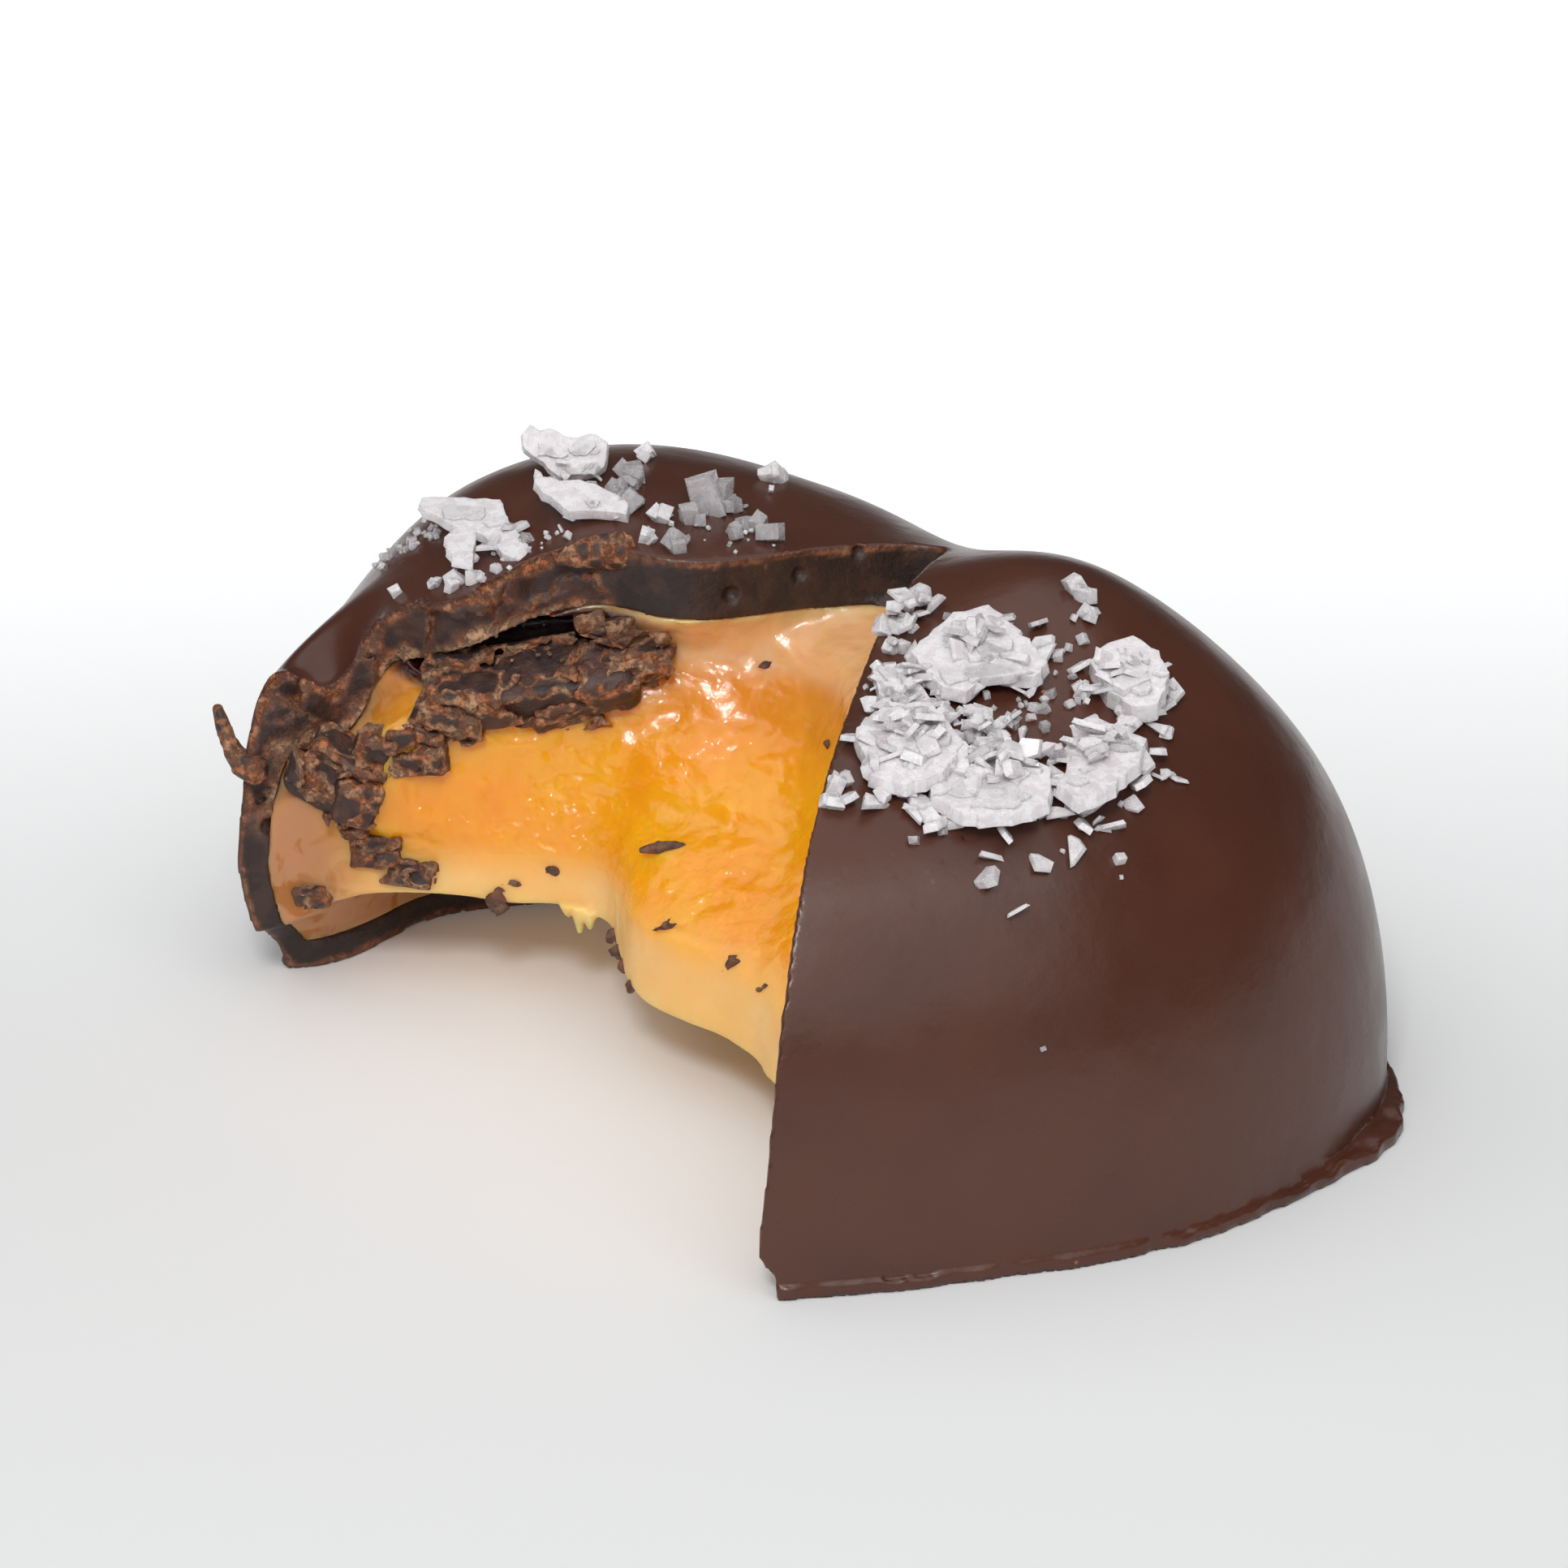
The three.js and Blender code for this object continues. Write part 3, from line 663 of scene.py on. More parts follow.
def add_chip(pile, middle, size, rotation, seed, crag=0.3, grain=1.3, lens=False, crust=1.0):
    """A broken piece of chocolate: a block that split into flat plates with crumbly edges."""
    axes, block = local_grid([s / 2 + CHIP_MARGIN for s in size], CHIP_STEP)
    shape = block.shape[:3]
    points = block.reshape(-1, 3)
    stray = np.stack([noise_block(axes, 0.4, seed + i).ravel() for i in (1, 2, 3)], 1)
    steps, border = facets((points + CHIP_STRAY * grain * stray) * PLATY + FAR_OFF, grain, seed,
                           BREAK_LEAN)
    crumbly = smooth(*CHIP_CRUMBLE, border)
    fine = noise_block(axes, 0.2, seed + 4).ravel()
    body = lens_distance(points, size) if lens else block_distance(points, size)
    field = body + crag * steps
    field = (field + CHIP_NOISE * fine * (0.12 + crumbly)).reshape(shape)
    places, faces = surface(field, axes, 0.0)
    seam = read_field(border.reshape(shape), axes, places)
    out = smooth(*CHIP_CORNER, sharpness(field, axes, places, 0.2))
    edge = crust * np.maximum(smooth(*CHIP_SEAM, seam), 0.7 * out)
    pile.add(places @ rotation.T + middle, faces, edge=edge, broken=1.0, rough=1.0, pale=0.4)


def settle(middle, size):
    """A place near the given one where a piece of this size sticks to the candy."""
    place = np.array(middle, float)
    steps = np.vstack([np.eye(3), -np.eye(3)]) * SLOPE_STEP
    for _ in range(5):
        gap = read_field(food, AXES, place[None])[0]
        if gap < STICK_SHARE * min(size):
            break
        around_it = read_field(food, AXES, place + steps)
        slope = around_it[:3] - around_it[3:]
        place = place - slope / (np.linalg.norm(slope) + 1e-6) * gap
    return place


def add_strand(pile, path, seed):
    """A thin torn strand of chocolate that follows a path of places, with a radius at each."""
    places = np.array([place for place, _ in path])
    middle = (places.min(0) + places.max(0)) / 2
    axes, block = local_grid((places.max(0) - places.min(0)) / 2 + 0.9, CHIP_STEP * 0.7)
    points = block.reshape(-1, 3) + middle
    field = np.full(len(points), 9.0)
    for (a, first), (b, last) in itertools.pairwise(path):
        way = np.subtract(b, a)
        share = np.clip((points - a) @ way / (way @ way), 0, 1)
        reach = np.linalg.norm(points - a - share[:, None] * way, axis=1)
        field = np.minimum(field, reach - first - (last - first) * share)
    steps, border = facets(points * 1.3 + FAR_OFF, 0.6, seed, BREAK_LEAN)
    field = (field + 0.05 * steps).reshape(block.shape[:3])
    skin, faces = surface(field, axes, 0.0)
    seam = read_field(border.reshape(block.shape[:3]), axes, skin)
    pile.add(skin + middle, faces, edge=0.8 * smooth(0.3, 0.05, seam), broken=1.0, rough=1.0, pale=0.2)


def chipped(ring, random):
    """An outline with its long sides broken into short uneven ones."""
    corners = []
    for a, b in zip(ring, np.roll(ring, -1, axis=0)):
        pieces = max(1, round(float(np.linalg.norm(b - a)) / 0.3))
        for i in range(pieces):
            corners.append(a + (b - a) * i / pieces + random.normal(0, 0.045, 2) * (i > 0))
    return np.array(corners)


def slab(ring, low, high, inset):
    """A flat slab whose sides lean in towards its top."""
    count = len(ring)
    middle = ring.mean(0)
    top = middle + (ring - middle) * (1 - inset)
    points = np.vstack([np.column_stack([ring, np.full(count, low)]),
                        np.column_stack([top, np.full(count, high)])])
    around_it = [(i + 1) % count for i in range(count)]
    faces = [list(range(count))[::-1], list(range(count, 2 * count))]
    faces += [[i, after, count + after, count + i] for i, after in enumerate(around_it)]
    return points, faces


def add_plate(pile, place, lift, lean, thick, outline, seed):
    """A salt flake: a thin broken plate of crystal with smaller plates grown on it."""
    random = np.random.default_rng(seed)
    ring = np.array(outline)
    after = np.roll(ring, -1, axis=0)
    if (ring[:, 0] * after[:, 1] - ring[:, 1] * after[:, 0]).sum() < 0:
        ring = ring[::-1]
    across = np.array([math.cos(AZIMUTH), math.sin(AZIMUTH), 0])
    ahead = np.array([-math.sin(AZIMUTH), math.cos(AZIMUTH), 0])
    upward = ahead * math.cos(lean) + np.array([0, 0, math.sin(lean)])
    turned = np.column_stack([across, upward, np.cross(across, upward)])
    middle = np.array([place[0], place[1], float(dome_height(*map(np.array, place))) + lift])
    parts = [slab(chipped(ring, random), -thick / 2, thick / 2, 0.04)]
    low, high = ring.min(0), ring.max(0)
    size = float(min(high - low))
    for _ in range(PLATE_LAYERS):
        at = random.uniform(low, high)
        reach = size * random.uniform(0.12, 0.34)
        turns = np.sort(random.uniform(0, 2 * np.pi, FLAKE_CORNERS))
        small = at + reach * np.column_stack([np.cos(turns), np.sin(turns) * random.uniform(0.5, 1)])
        if polygon_distance(small, ring).max() < 0.05:
            rise = thick * random.uniform(0.12, 0.4)
            parts.append(slab(chipped(small, random), 0, thick / 2 + rise, 0.1))
    for points, faces in parts:
        pile.add(points @ turned.T + middle, faces, clear=random.uniform(0.15, 0.35))


def hull(points):
    """Corners and faces of the tight skin round points."""
    mesh = bmesh.new()
    for point in points:
        mesh.verts.new(point)
    made = bmesh.ops.convex_hull(mesh, input=mesh.verts)
    spare = made["geom_interior"] + made["geom_unused"]
    loose = {element for element in spare if isinstance(element, bmesh.types.BMVert)}
    bmesh.ops.delete(mesh, geom=list(loose), context="VERTS")
    mesh.verts.index_update()
    places = np.array([v.co[:] for v in mesh.verts])
    faces = [[v.index for v in face.verts] for face in mesh.faces]
    mesh.free()
    return places, faces


def add_grain(pile, random, x, y, size, clear):
    """A salt crystal: a cube with chipped corners that lies in any direction on the dome."""
    top = float(dome_height(np.array(x), np.array(y)))
    middle = np.array([x, y, top + size * 0.22])
    if read_field(bite, AXES, middle[None])[0] < 0.15:
        return
    corners = np.array(list(itertools.product((-1, 1), repeat=3)), float)
    points = np.vstack([corners * random.uniform(0.55, 1, (8, 3)) for _ in range(2)])
    points *= size / 2 * random.uniform(0.6, 1, 3)
    rotation = spin(*random.uniform(-3.1, 3.1, 3))
    places, faces = hull(points @ rotation.T + middle)
    pile.add(places, faces, clear=clear)


def add_flake(pile, random, x, y, heap, size):
    """A small flat salt crystal with a broken outline that leans on its neighbours in a heap."""
    top = float(dome_height(np.array(x), np.array(y)))
    middle = np.array([x, y, top + size * 0.15 + heap * random.uniform(0, 1)])
    if read_field(bite, AXES, middle[None])[0] < size * 0.4:
        return
    turns = np.sort(random.uniform(0, 2 * np.pi, FLAKE_CORNERS))
    reach = random.uniform(0.6, 1, FLAKE_CORNERS) * size / 2
    ring = np.column_stack([reach * np.cos(turns), reach * np.sin(turns) * random.uniform(0.5, 1)])
    thick = size * random.uniform(0.08, 0.2)
    layers = [np.column_stack([ring * share, np.full(FLAKE_CORNERS, level)])
              for share, level in ((1, -thick / 2), (random.uniform(0.75, 1), thick / 2))]
    rotation = spin(random.uniform(-3.1, 3.1), random.normal(0, 0.45), random.normal(0, 0.45))
    places, faces = hull(np.vstack(layers) @ rotation.T + middle)
    pile.add(places, faces, clear=random.uniform(0.1, 0.5))


# Fields of the candy

coarse_axes = [np.arange(LOW[i], HIGH[i] + 2 * BITE_STEP, BITE_STEP) for i in range(3)]
bite = linear_stretch(bite_distance(coarse_axes), coarse_axes, AXES)
whole = Dome(0, 0, FOOT_HEIGHT)
outside = whole.distance()
inside = Dome(SIDE, LID, FLOOR + LAYER_LIFT).distance()
X = AXES[0][:, None, None]
Z = AXES[2][None, None, :]
inside = np.maximum(inside, FLOOR - Z)

lumps = noise_block(AXES, LUMP_SIZE, 1)
crumbs = noise_block(AXES, CRUMB_SIZE, 2)
grit = noise_block(AXES, GRIT_SIZE, 3)

outside = np.minimum(outside, whole.foot(crumbs))
outside = np.maximum(outside + SKIN_WAVE + SKIN_WAVE * noise_block(AXES, SWELL_SIZE, 4), -Z)

# The left stretch of the lid edge broke into steps; the rest of it was cut clean
rough = (1 - smooth(*ROUGH_END_X, X)) * smooth(*ROUGH_START_Z, Z)
near_break = (np.abs(bite) < BREAK_REACH) & (rough > 0.01)
spots = np.argwhere(near_break)
break_points = np.stack([AXES[i][spots[:, i]] for i in range(3)], 1).astype(float)
stray = np.stack([lumps[near_break], crumbs[near_break], grit[near_break]], 1)
steps, step_seam = facets(break_points + BREAK_STRAY * stray, BREAK_STEP, 5, BREAK_LEAN)
rough_here = np.broadcast_to(rough, bite.shape)[near_break]
crag = CLEAN_GRIT * grit
relief = zip(BREAK_RELIEF, (steps, crumbs[near_break], grit[near_break]))
crag[near_break] += rough_here * sum(depth * noise for depth, noise in relief)
seam = np.zeros_like(bite)
seam[near_break] = rough_here * smooth(*BREAK_SEAM, step_seam)
cut = -(bite + crag)
chocolate = np.maximum(np.maximum(outside, -inside), cut)
for middle, radius in PORES:
    part, way = window(middle, 2 * radius)
    chocolate[part] = np.maximum(chocolate[part], radius - np.linalg.norm(way, axis=-1))

hollow = np.full_like(bite, 9.0)
part, way = window(HOLLOW_AT, HOLLOW_HALF.max() + 0.6)
reach = np.linalg.norm((way @ spin(HOLLOW_TURN, HOLLOW_TILT, 0)) / HOLLOW_HALF, axis=-1)
hollow[part] = (reach - 1) * HOLLOW_HALF.min()

wet_part = smooth(*WET_START_Z, Z) * smooth(*WET_START_X, X)
wet = (DRY_LUMPS + WET_LUMPS * wet_part) * lumps + wet_part * (WET_CRUMBS * crumbs + WET_GRIT * grit)
caramel = np.maximum(inside - 0.02, -(bite + wet))
caramel = np.maximum(caramel, -hollow)
for top, length, radius in DRIPS:
    part, way = window(top, length)
    down = np.clip(-way[..., 2] / length, 0, 1)
    thread = np.hypot(way[..., 0], way[..., 1]) - radius * (1 - down) ** 0.7
    caramel[part] = np.minimum(caramel[part], np.maximum(thread, way[..., 2]))
food = np.minimum(chocolate, caramel)


# Materials

class Shade:
    """A material whose colours and bumps come from noise in the object's own space."""

    def __init__(self, name):
        self.material = bpy.data.materials.new(name)
        self.material.use_nodes = True
        self.tree = self.material.node_tree
        self.shader = self.tree.nodes["Principled BSDF"]
        self.space = self.node("ShaderNodeTexCoord").outputs["Object"]

    def node(self, kind, settings=(), **sockets):
        made = self.tree.nodes.new(kind)
        for name, value in dict(settings).items():
            setattr(made, name, value)
        for name, value in sockets.items():
            self.feed(made.inputs[name.replace("_", " ")], value)
        return made

    def feed(self, socket, value):
        if isinstance(value, bpy.types.NodeSocket):
            self.tree.links.new(value, socket)
        else:
            socket.default_value = value

    def set(self, **sockets):
        for name, value in sockets.items():
            self.feed(self.shader.inputs[name.replace("_", " ")], value)

    def noise(self, size, detail=3.0, roughness=0.55, spread=0.0):
        made = self.node("ShaderNodeTexNoise", Vector=self.space, Scale=1 / (size * MM), Detail=detail,
                         Roughness=roughness, Distortion=spread)
        return made.outputs["Fac"]

    def cells(self, size):
        made = self.node("ShaderNodeTexVoronoi", Vector=self.space, Scale=1 / (size * MM))
        return made.outputs["Distance"]

    def value(self, name):
        return self.node("ShaderNodeAttribute", {"attribute_name": name}).outputs["Fac"]

    def span(self, value, low, high, to_low=0.0, to_high=1.0):
        made = self.node("ShaderNodeMapRange", {"interpolation_type": "SMOOTHSTEP"}, Value=value)
        made.inputs["From Min"].default_value = low
        made.inputs["From Max"].default_value = high
        made.inputs["To Min"].default_value = to_low
        made.inputs["To Max"].default_value = to_high
        return made.outputs["Result"]

    def math(self, kind, a, b):
        made = self.node("ShaderNodeMath", {"operation": kind})
        self.feed(made.inputs[0], a)
        self.feed(made.inputs[1], b)
        return made.outputs[0]

    def mix(self, share, a, b):
        made = self.node("ShaderNodeMix", {"data_type": "RGBA"})
        self.feed(made.inputs[0], share)
        for socket, value in ((made.inputs[6], a), (made.inputs[7], b)):
            self.feed(socket, value if isinstance(value, bpy.types.NodeSocket) else (*value, 1))
        return made.outputs[2]

    def bump(self, height, depth, below=None):
        made = self.node("ShaderNodeBump", Height=height, Distance=depth * MM, Strength=1.0)
        if below is not None:
            self.feed(made.inputs["Normal"], below)
        return made.outputs["Normal"]

    def axis(self, name):
        return self.node("ShaderNodeSeparateXYZ", Vector=self.space).outputs[name]


# Colours of the chocolate: its skin, a clean cut, a rough break and the crusts on it

SKIN = (0.084, 0.0265, 0.0145)
SKIN_DEEP = (0.070, 0.0220, 0.0125)
CUT_DARK = (0.020, 0.0100, 0.0080)
CUT_BROWN = (0.042, 0.0190, 0.0125)
BREAK_DARK = (0.030, 0.0135, 0.0115)
BREAK_BROWN = (0.066, 0.0260, 0.0175)
PALE_TAN = (0.60, 0.360, 0.210)
RED_TAN = (0.48, 0.165, 0.065)

# Where the caramel changes, in metres: heights of its bands, then the start of its left end

# Below this band the caramel is painted paler: painted light, the bright floor's reflection on the face that
# turns down
PAINTED_FLOOR_LIGHT_BAND = (0.0056, 0.0040)
UPPER_FACE = (0.0078, 0.0118)
# Painted highlight: heights of the shelf under the lid, painted pale as if lit from above
PAINTED_SHELF_HIGHLIGHT = (0.0106, 0.0113)
RIDGE_FOOT = (0.0042, 0.0050)
RIDGE_TOP = (0.0070, 0.0058)
LEFT_END = (-0.0100, -0.0122)

# Painted light on the floor, standing in for the backlight: where it is painted paler and where it glows, in
# metres behind the candy, and how much

PAINTED_BACKLIGHT_FLOOR = (-0.01, 0.05)
GLOWING_FLOOR = (-0.01, 0.07)
FLOOR_GLOW = 0.42


def chocolate_material(name):
    """Glossy dark skin; where broken, dark flat plates with crumbly tan borders."""
    shade = Shade(name)
    broken = shade.value("broken")
    rough_part = shade.value("rough")
    soft = shade.noise(6.0, 2.0)
    skin = shade.mix(shade.span(soft, 0.35, 0.65), SKIN_DEEP, SKIN)
    dust = shade.span(shade.cells(2.6), 0.045, 0.02)
    skin = shade.mix(dust, skin, RED_TAN)
    patches = shade.span(shade.noise(0.9, 4.0, 0.6), 0.42, 0.6)
    inner = shade.mix(rough_part, shade.mix(patches, CUT_DARK, CUT_BROWN),
                      shade.mix(patches, BREAK_DARK, BREAK_BROWN))
    flakes = shade.span(shade.noise(0.3, 5.0, 0.7), 0.36, 0.6)
    borders = shade.math("MULTIPLY", shade.value("edge"), shade.span(flakes, 0.0, 1.0, 0.25, 1.0))
    pale = shade.math("ADD", shade.value("pale"), shade.span(shade.noise(0.5, 3.0), 0.4, 0.6, -0.4, 0.4))
    crust = shade.mix(pale, RED_TAN, PALE_TAN)
    inner = shade.mix(borders, inner, crust)
    shade.set(Base_Color=shade.mix(broken, skin, inner), Specular_IOR_Level=0.5)
    glossy = shade.span(shade.noise(2.0, 3.0), 0.3, 0.7, 0.26, 0.34)
    dull = shade.span(shade.value("edge"), 0.0, 1.0, 0.5, 0.8)
    glossy_part = shade.math("MULTIPLY", glossy, shade.math("SUBTRACT", 1.0, broken))
    shade.set(Roughness=shade.math("ADD", glossy_part, shade.math("MULTIPLY", dull, broken)))
    fine = shade.bump(shade.noise(0.35, 3.0), 0.01)
    waves = shade.bump(shade.noise(3.2, 2.0), 0.08, below=fine)
    crumbly = shade.math("MULTIPLY", shade.noise(0.25, 4.0, 0.7), shade.math("MULTIPLY", broken, 0.35))
    ragged = shade.math("MULTIPLY", shade.noise(0.3, 5.0, 0.7), shade.math("MULTIPLY", borders, rough_part))
    shade.set(Normal=shade.bump(shade.math("ADD", crumbly, ragged), 0.16, below=waves))
    return shade.material


def caramel_material():
    """Wet amber face with a pale shelf that is a painted highlight, a dull lower band painted paler as
    painted light from the floor, dull tan at the left end, and painted shade in the hollow under the lid.
    """
    shade = Shade("caramel")
    height = shade.axis("Z")
    side = shade.axis("X")
    low = shade.span(height, *PAINTED_FLOOR_LIGHT_BAND)
    high = shade.span(height, *UPPER_FACE)
    left = shade.span(side, *LEFT_END)
    cloud = shade.span(shade.noise(3.5, 3.0), 0.3, 0.7)
    gold = shade.mix(cloud, (0.90, 0.34, 0.003), (0.94, 0.43, 0.008))
    gold = shade.mix(high, gold, (0.70, 0.27, 0.045))
    # Painted highlight: the up-facing shelf under the lid is painted pale
    gold = shade.mix(shade.span(height, *PAINTED_SHELF_HIGHLIGHT), gold, (0.80, 0.44, 0.19))
    # Painted light: the lower band is painted paler, as if lit by the bright floor below it
    pale = shade.mix(cloud, (0.95, 0.60, 0.24), (0.94, 0.53, 0.17))
    color = shade.mix(low, gold, pale)
    streaks = shade.span(shade.noise(1.1, 3.0, 0.5, 1.0), 0.5, 0.64)
    color = shade.mix(left, color, shade.mix(streaks, (0.52, 0.25, 0.115), (0.42, 0.15, 0.028)))
    # Painted shade: the caramel in the hollow under the lid is painted near black, where the lid's shade
    # falls
    color = shade.mix(shade.value("smear"), color, (0.030, 0.003, 0.002))
    shade.set(Base_Color=color, Subsurface_Weight=1.0, Subsurface_Radius=(1.0, 0.42, 0.10),
              Subsurface_Scale=1.1 * MM, IOR=1.46)
    dry = shade.math("MAXIMUM", low, left)
    wetness = shade.math("SUBTRACT", 1.0, dry)
    shade.set(Roughness=shade.span(wetness, 0.0, 1.0, 0.5, 0.22))
    shade.set(Coat_Weight=shade.span(wetness, 0.0, 1.0, 0.0, 0.8), Coat_Roughness=0.02)
    ridge = shade.math("MULTIPLY", shade.span(height, *RIDGE_FOOT), shade.span(height, *RIDGE_TOP))
    depth = shade.math("ADD", shade.span(wetness, 0.0, 1.0, 0.15, 1.0), shade.math("MULTIPLY", ridge, 1.8))
    beads = shade.math("MULTIPLY", shade.noise(0.3, 2.0, 0.5), depth)
    waves = shade.bump(shade.noise(1.3, 1.0, 0.5, 0.6), 0.15)
    shade.set(Normal=waves, Coat_Normal=shade.bump(beads, 0.08, below=waves))
    return shade.material


def salt_material():
    """Frosty, slightly see-through crystal."""
    shade = Shade("salt")
    clear = shade.value("clear")
    frost = shade.span(shade.noise(0.35, 4.0, 0.6), 0.35, 0.65)
    color = shade.mix(frost, (0.80, 0.745, 0.765), (0.94, 0.91, 0.925))
    shade.set(Base_Color=color, IOR=1.5, Subsurface_Weight=0.5, Subsurface_Radius=(1.0, 0.95, 0.95),
              Subsurface_Scale=0.3 * MM)
    shade.set(Transmission_Weight=shade.span(clear, 0.1, 1.0, 0.1, 0.6))
    shade.set(Roughness=shade.span(frost, 0.0, 1.0, 0.14, 0.4))
    shade.set(Normal=shade.bump(shade.noise(0.16, 4.0, 0.65), 0.025))
    return shade.material


def floor_material():
    """Matt white paper with painted light behind the candy: painted paler there, and glowing though it is no
    lamp.
    """
    shade = Shade("floor")
    tone = shade.span(shade.noise(40.0, 2.0), 0.3, 0.7)
    near = shade.mix(tone, (0.805, 0.813, 0.817), (0.813, 0.820, 0.824))
    back = shade.math("SUBTRACT", shade.math("MULTIPLY", shade.axis("Y"), math.cos(AZIMUTH)),
                      shade.math("MULTIPLY", shade.axis("X"), math.sin(AZIMUTH)))
    # Painted light: paler colour behind the candy
    shade.set(Base_Color=shade.mix(shade.span(back, *PAINTED_BACKLIGHT_FLOOR), near, (0.92, 0.93, 0.94)),
              Roughness=0.8)
    # Painted light: the floor glows behind the candy
    glow = shade.span(back, *GLOWING_FLOOR, 0.0, FLOOR_GLOW)
    shade.set(Emission_Color=(1, 1, 1, 1), Emission_Strength=glow)
    return shade.material


chocolate_look = chocolate_material("chocolate")
caramel_look = caramel_material()
salt_look = salt_material()


# Pieces

def make_shell():
    pile = Pile()
    places, faces = surface(chocolate, AXES, FLATNESS)
    deep = -read_field(outside, AXES, places)
    inner = read_field(inside, AXES, places)
    cut_near = smooth(0.14, 0.03, np.abs(read_field(cut, AXES, places)))
    broken = 1 - smooth(0.16, 0.05, np.abs(deep))
    broken = np.maximum(broken, smooth(1.0, 2.5, sharpness(chocolate, AXES, places, 0.15)) * cut_near)
    rugged = read_field(np.broadcast_to(rough, bite.shape), AXES, places)
    uneven = 0.3 * read_field(crumbs, AXES, places)
    top_crust = smooth(*TOP_CRUST, deep + uneven) * rugged
    low_crust = smooth(*LOW_CRUST, inner + uneven) * rugged
    clean_crust = smooth(*CLEAN_CRUST, deep + 0.3 * uneven) * (1 - rugged)
    edge = np.maximum.reduce([top_crust, low_crust, 0.6 * clean_crust, 0.7 * read_field(seam, AXES, places)])
    pile.add(places, faces, broken=broken, edge=edge * cut_near, rough=rugged * cut_near,
             pale=np.clip(low_crust - top_crust, 0, 1))
    return pile.make("chocolate_body", chocolate_look)


def make_core():
    pile = Pile()
    places, faces = surface(caramel, AXES, FLATNESS)
    # Painted shade: marks the caramel in the hollow under the lid, to be painted near black
    pile.add(places, faces, smear=smooth(0.5, 0.1, read_field(hollow, AXES, places)))
    return pile.make("caramel_body", caramel_look)


def make_slabs(name, slabs, seed):
    pile = Pile()
    for i, (middle, size, turn, tilt, roll) in enumerate(slabs):
        add_chip(pile, np.array(middle), size, spin(turn, tilt, roll), seed + 10 * i)
    return pile.make(name, chocolate_look)


def make_crumbs():
    pile = Pile()
    turns = np.random.default_rng(7)
    for i, (middle, size) in enumerate(CRUMBS):
        turn, tilt, roll = turns.uniform(-0.35, 0.35, 3)
        rotation = spin(AZIMUTH + turn, tilt, roll)
        add_chip(pile, settle(middle, size), size, rotation, 200 + 10 * i, crag=0.16, grain=0.8,
                 crust=0.8)
    for i, (middle, size) in enumerate(SPECKS):
        rotation = spin(AZIMUTH, turns.uniform(-0.4, 0.4), 0)
        add_chip(pile, settle(middle, size), size, rotation, 500 + 10 * i, crag=0.03, grain=0.6,
                 lens=True, crust=0.3)
    for i, path in enumerate(STRANDS):
        add_strand(pile, path, 700 + i)
    return pile.make("chocolate_crumbs", chocolate_look)


def make_flakes():
    pile = Pile()
    for i, plate in enumerate(PLATES):
        add_plate(pile, *plate, seed=400 + 2 * i)
    return pile.make("salt_flakes", salt_look, smooth_faces=False)


def make_grains():
    pile = Pile()
    random = np.random.default_rng(8)
    for x, y, size in WHITE_GRAINS:
        for _ in range(3 if size > 0.55 else 1):
            shift = random.normal(0, size * 0.22, 2)
            add_grain(pile, random, x + shift[0], y + shift[1], size * random.uniform(0.5, 0.95), 0.3)
    for x, y, size in CLEAR_GRAINS:
        for _ in range(2):
            shift = random.normal(0, size * 0.2, 2)
            add_grain(pile, random, x + shift[0], y + shift[1], size * random.uniform(0.6, 1.0), 1.0)
    for (x, y), spread, count, size in HEAPS:
        for _ in range(count):
            way = random.normal(0, 1, 2)
            px, py = np.array([x, y]) + way * spread
            heap = HEAP_HEIGHT * math.exp(-float(way @ way) / 2)
            add_flake(pile, random, px, py, heap, size * random.uniform(0.6, 1.2))
    for (x, y), (spread_x, spread_y), count, size in DUST:
        for _ in range(count):
            px, py = random.normal(x, spread_x), random.normal(y, spread_y)
            add_grain(pile, random, px, py, size * random.uniform(0.4, 1.2), random.uniform(0.2, 1.0))
    return pile.make("salt_grains", salt_look, smooth_faces=False)


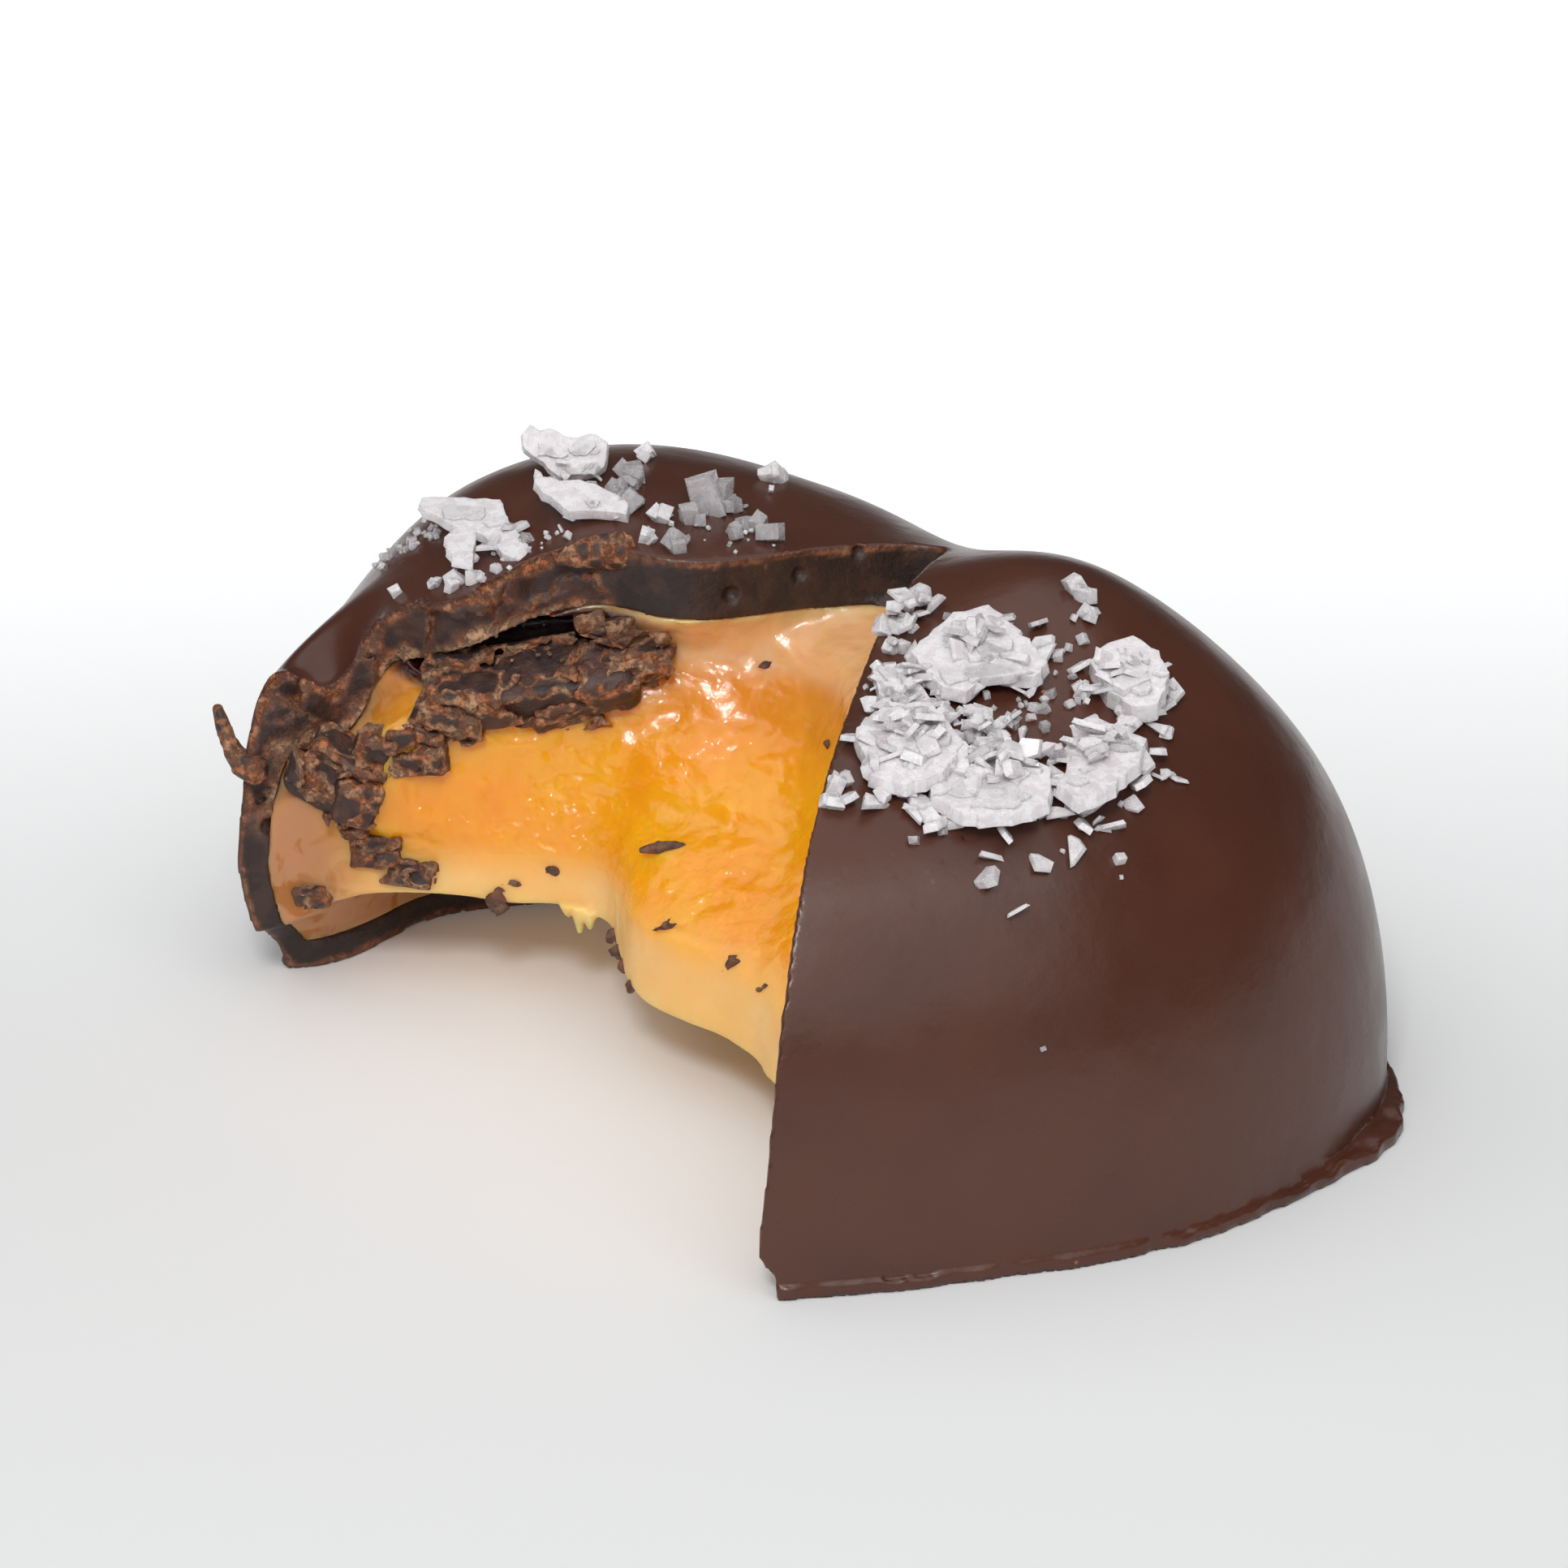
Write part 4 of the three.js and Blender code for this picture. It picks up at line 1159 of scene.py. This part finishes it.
shell = make_shell()
core = make_core()
shard = make_slabs("pressed_layer", SHARD, 100)
chunk = make_slabs("corner_piece", CHUNK, 150)
crumb_piece = make_crumbs()
flakes = make_flakes()
grains = make_grains()

for piece, slot in ((shell, "chocolate"), (core, "caramel"), (shard, "broken_chocolate"),
                    (chunk, "broken_chocolate"), (crumb_piece, "broken_chocolate"), (flakes, "salt"),
                    (grains, "salt")):
    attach(piece, "root")
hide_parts("chocolate_shell")
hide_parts("caramel_core")
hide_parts("pressed_shard")
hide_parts("corner_chunk")


# Floor and light

FLOOR_SIDE = 6.0
FLOOR_DROP = 0.02
LIGHT_TARGET = (0, 0, 6)
WORLD_STRENGTH = 0.06

# Soft lights: name, place in the view's own directions in mm, size in metres and power in watts

LIGHTS = [
    ("top", (-60, -20, 430), (0.8, 0.7), 1.6),
    ("front", (40, -300, 230), (0.5, 0.35), 0.6),
    ("key", (-30, -270, 250), (0.07, 0.07), 0.5),
]


def make_floor():
    half = FLOOR_SIDE / 2
    mesh = bpy.data.meshes.new("floor")
    corners = [(-half, -half, 0), (half, -half, 0), (half, half, 0), (-half, half, 0)]
    mesh.from_pydata(corners, [], [(0, 1, 2, 3)])
    mesh.materials.append(floor_material())
    floor = bpy.data.objects.new("floor", mesh)
    bpy.context.scene.collection.objects.link(floor)
    floor.location.z = -FLOOR_DROP * MM


def make_light(name, place, size, power):
    data = bpy.data.lights.new(name, "AREA")
    data.shape = "RECTANGLE"
    data.size, data.size_y = size
    data.energy = power
    light = bpy.data.objects.new(name, data)
    bpy.context.scene.collection.objects.link(light)
    look_at(light, from_view(*place), from_view(*LIGHT_TARGET))


def make_world():
    world = bpy.data.worlds.new("world")
    bpy.context.scene.world = world
    world.use_nodes = True
    background = world.node_tree.nodes["Background"]
    background.inputs["Color"].default_value = (1, 1, 1, 1)
    background.inputs["Strength"].default_value = WORLD_STRENGTH


make_floor()
for light in LIGHTS:
    make_light(*light)
make_world()
bpy.context.scene.view_settings.view_transform = "Standard"
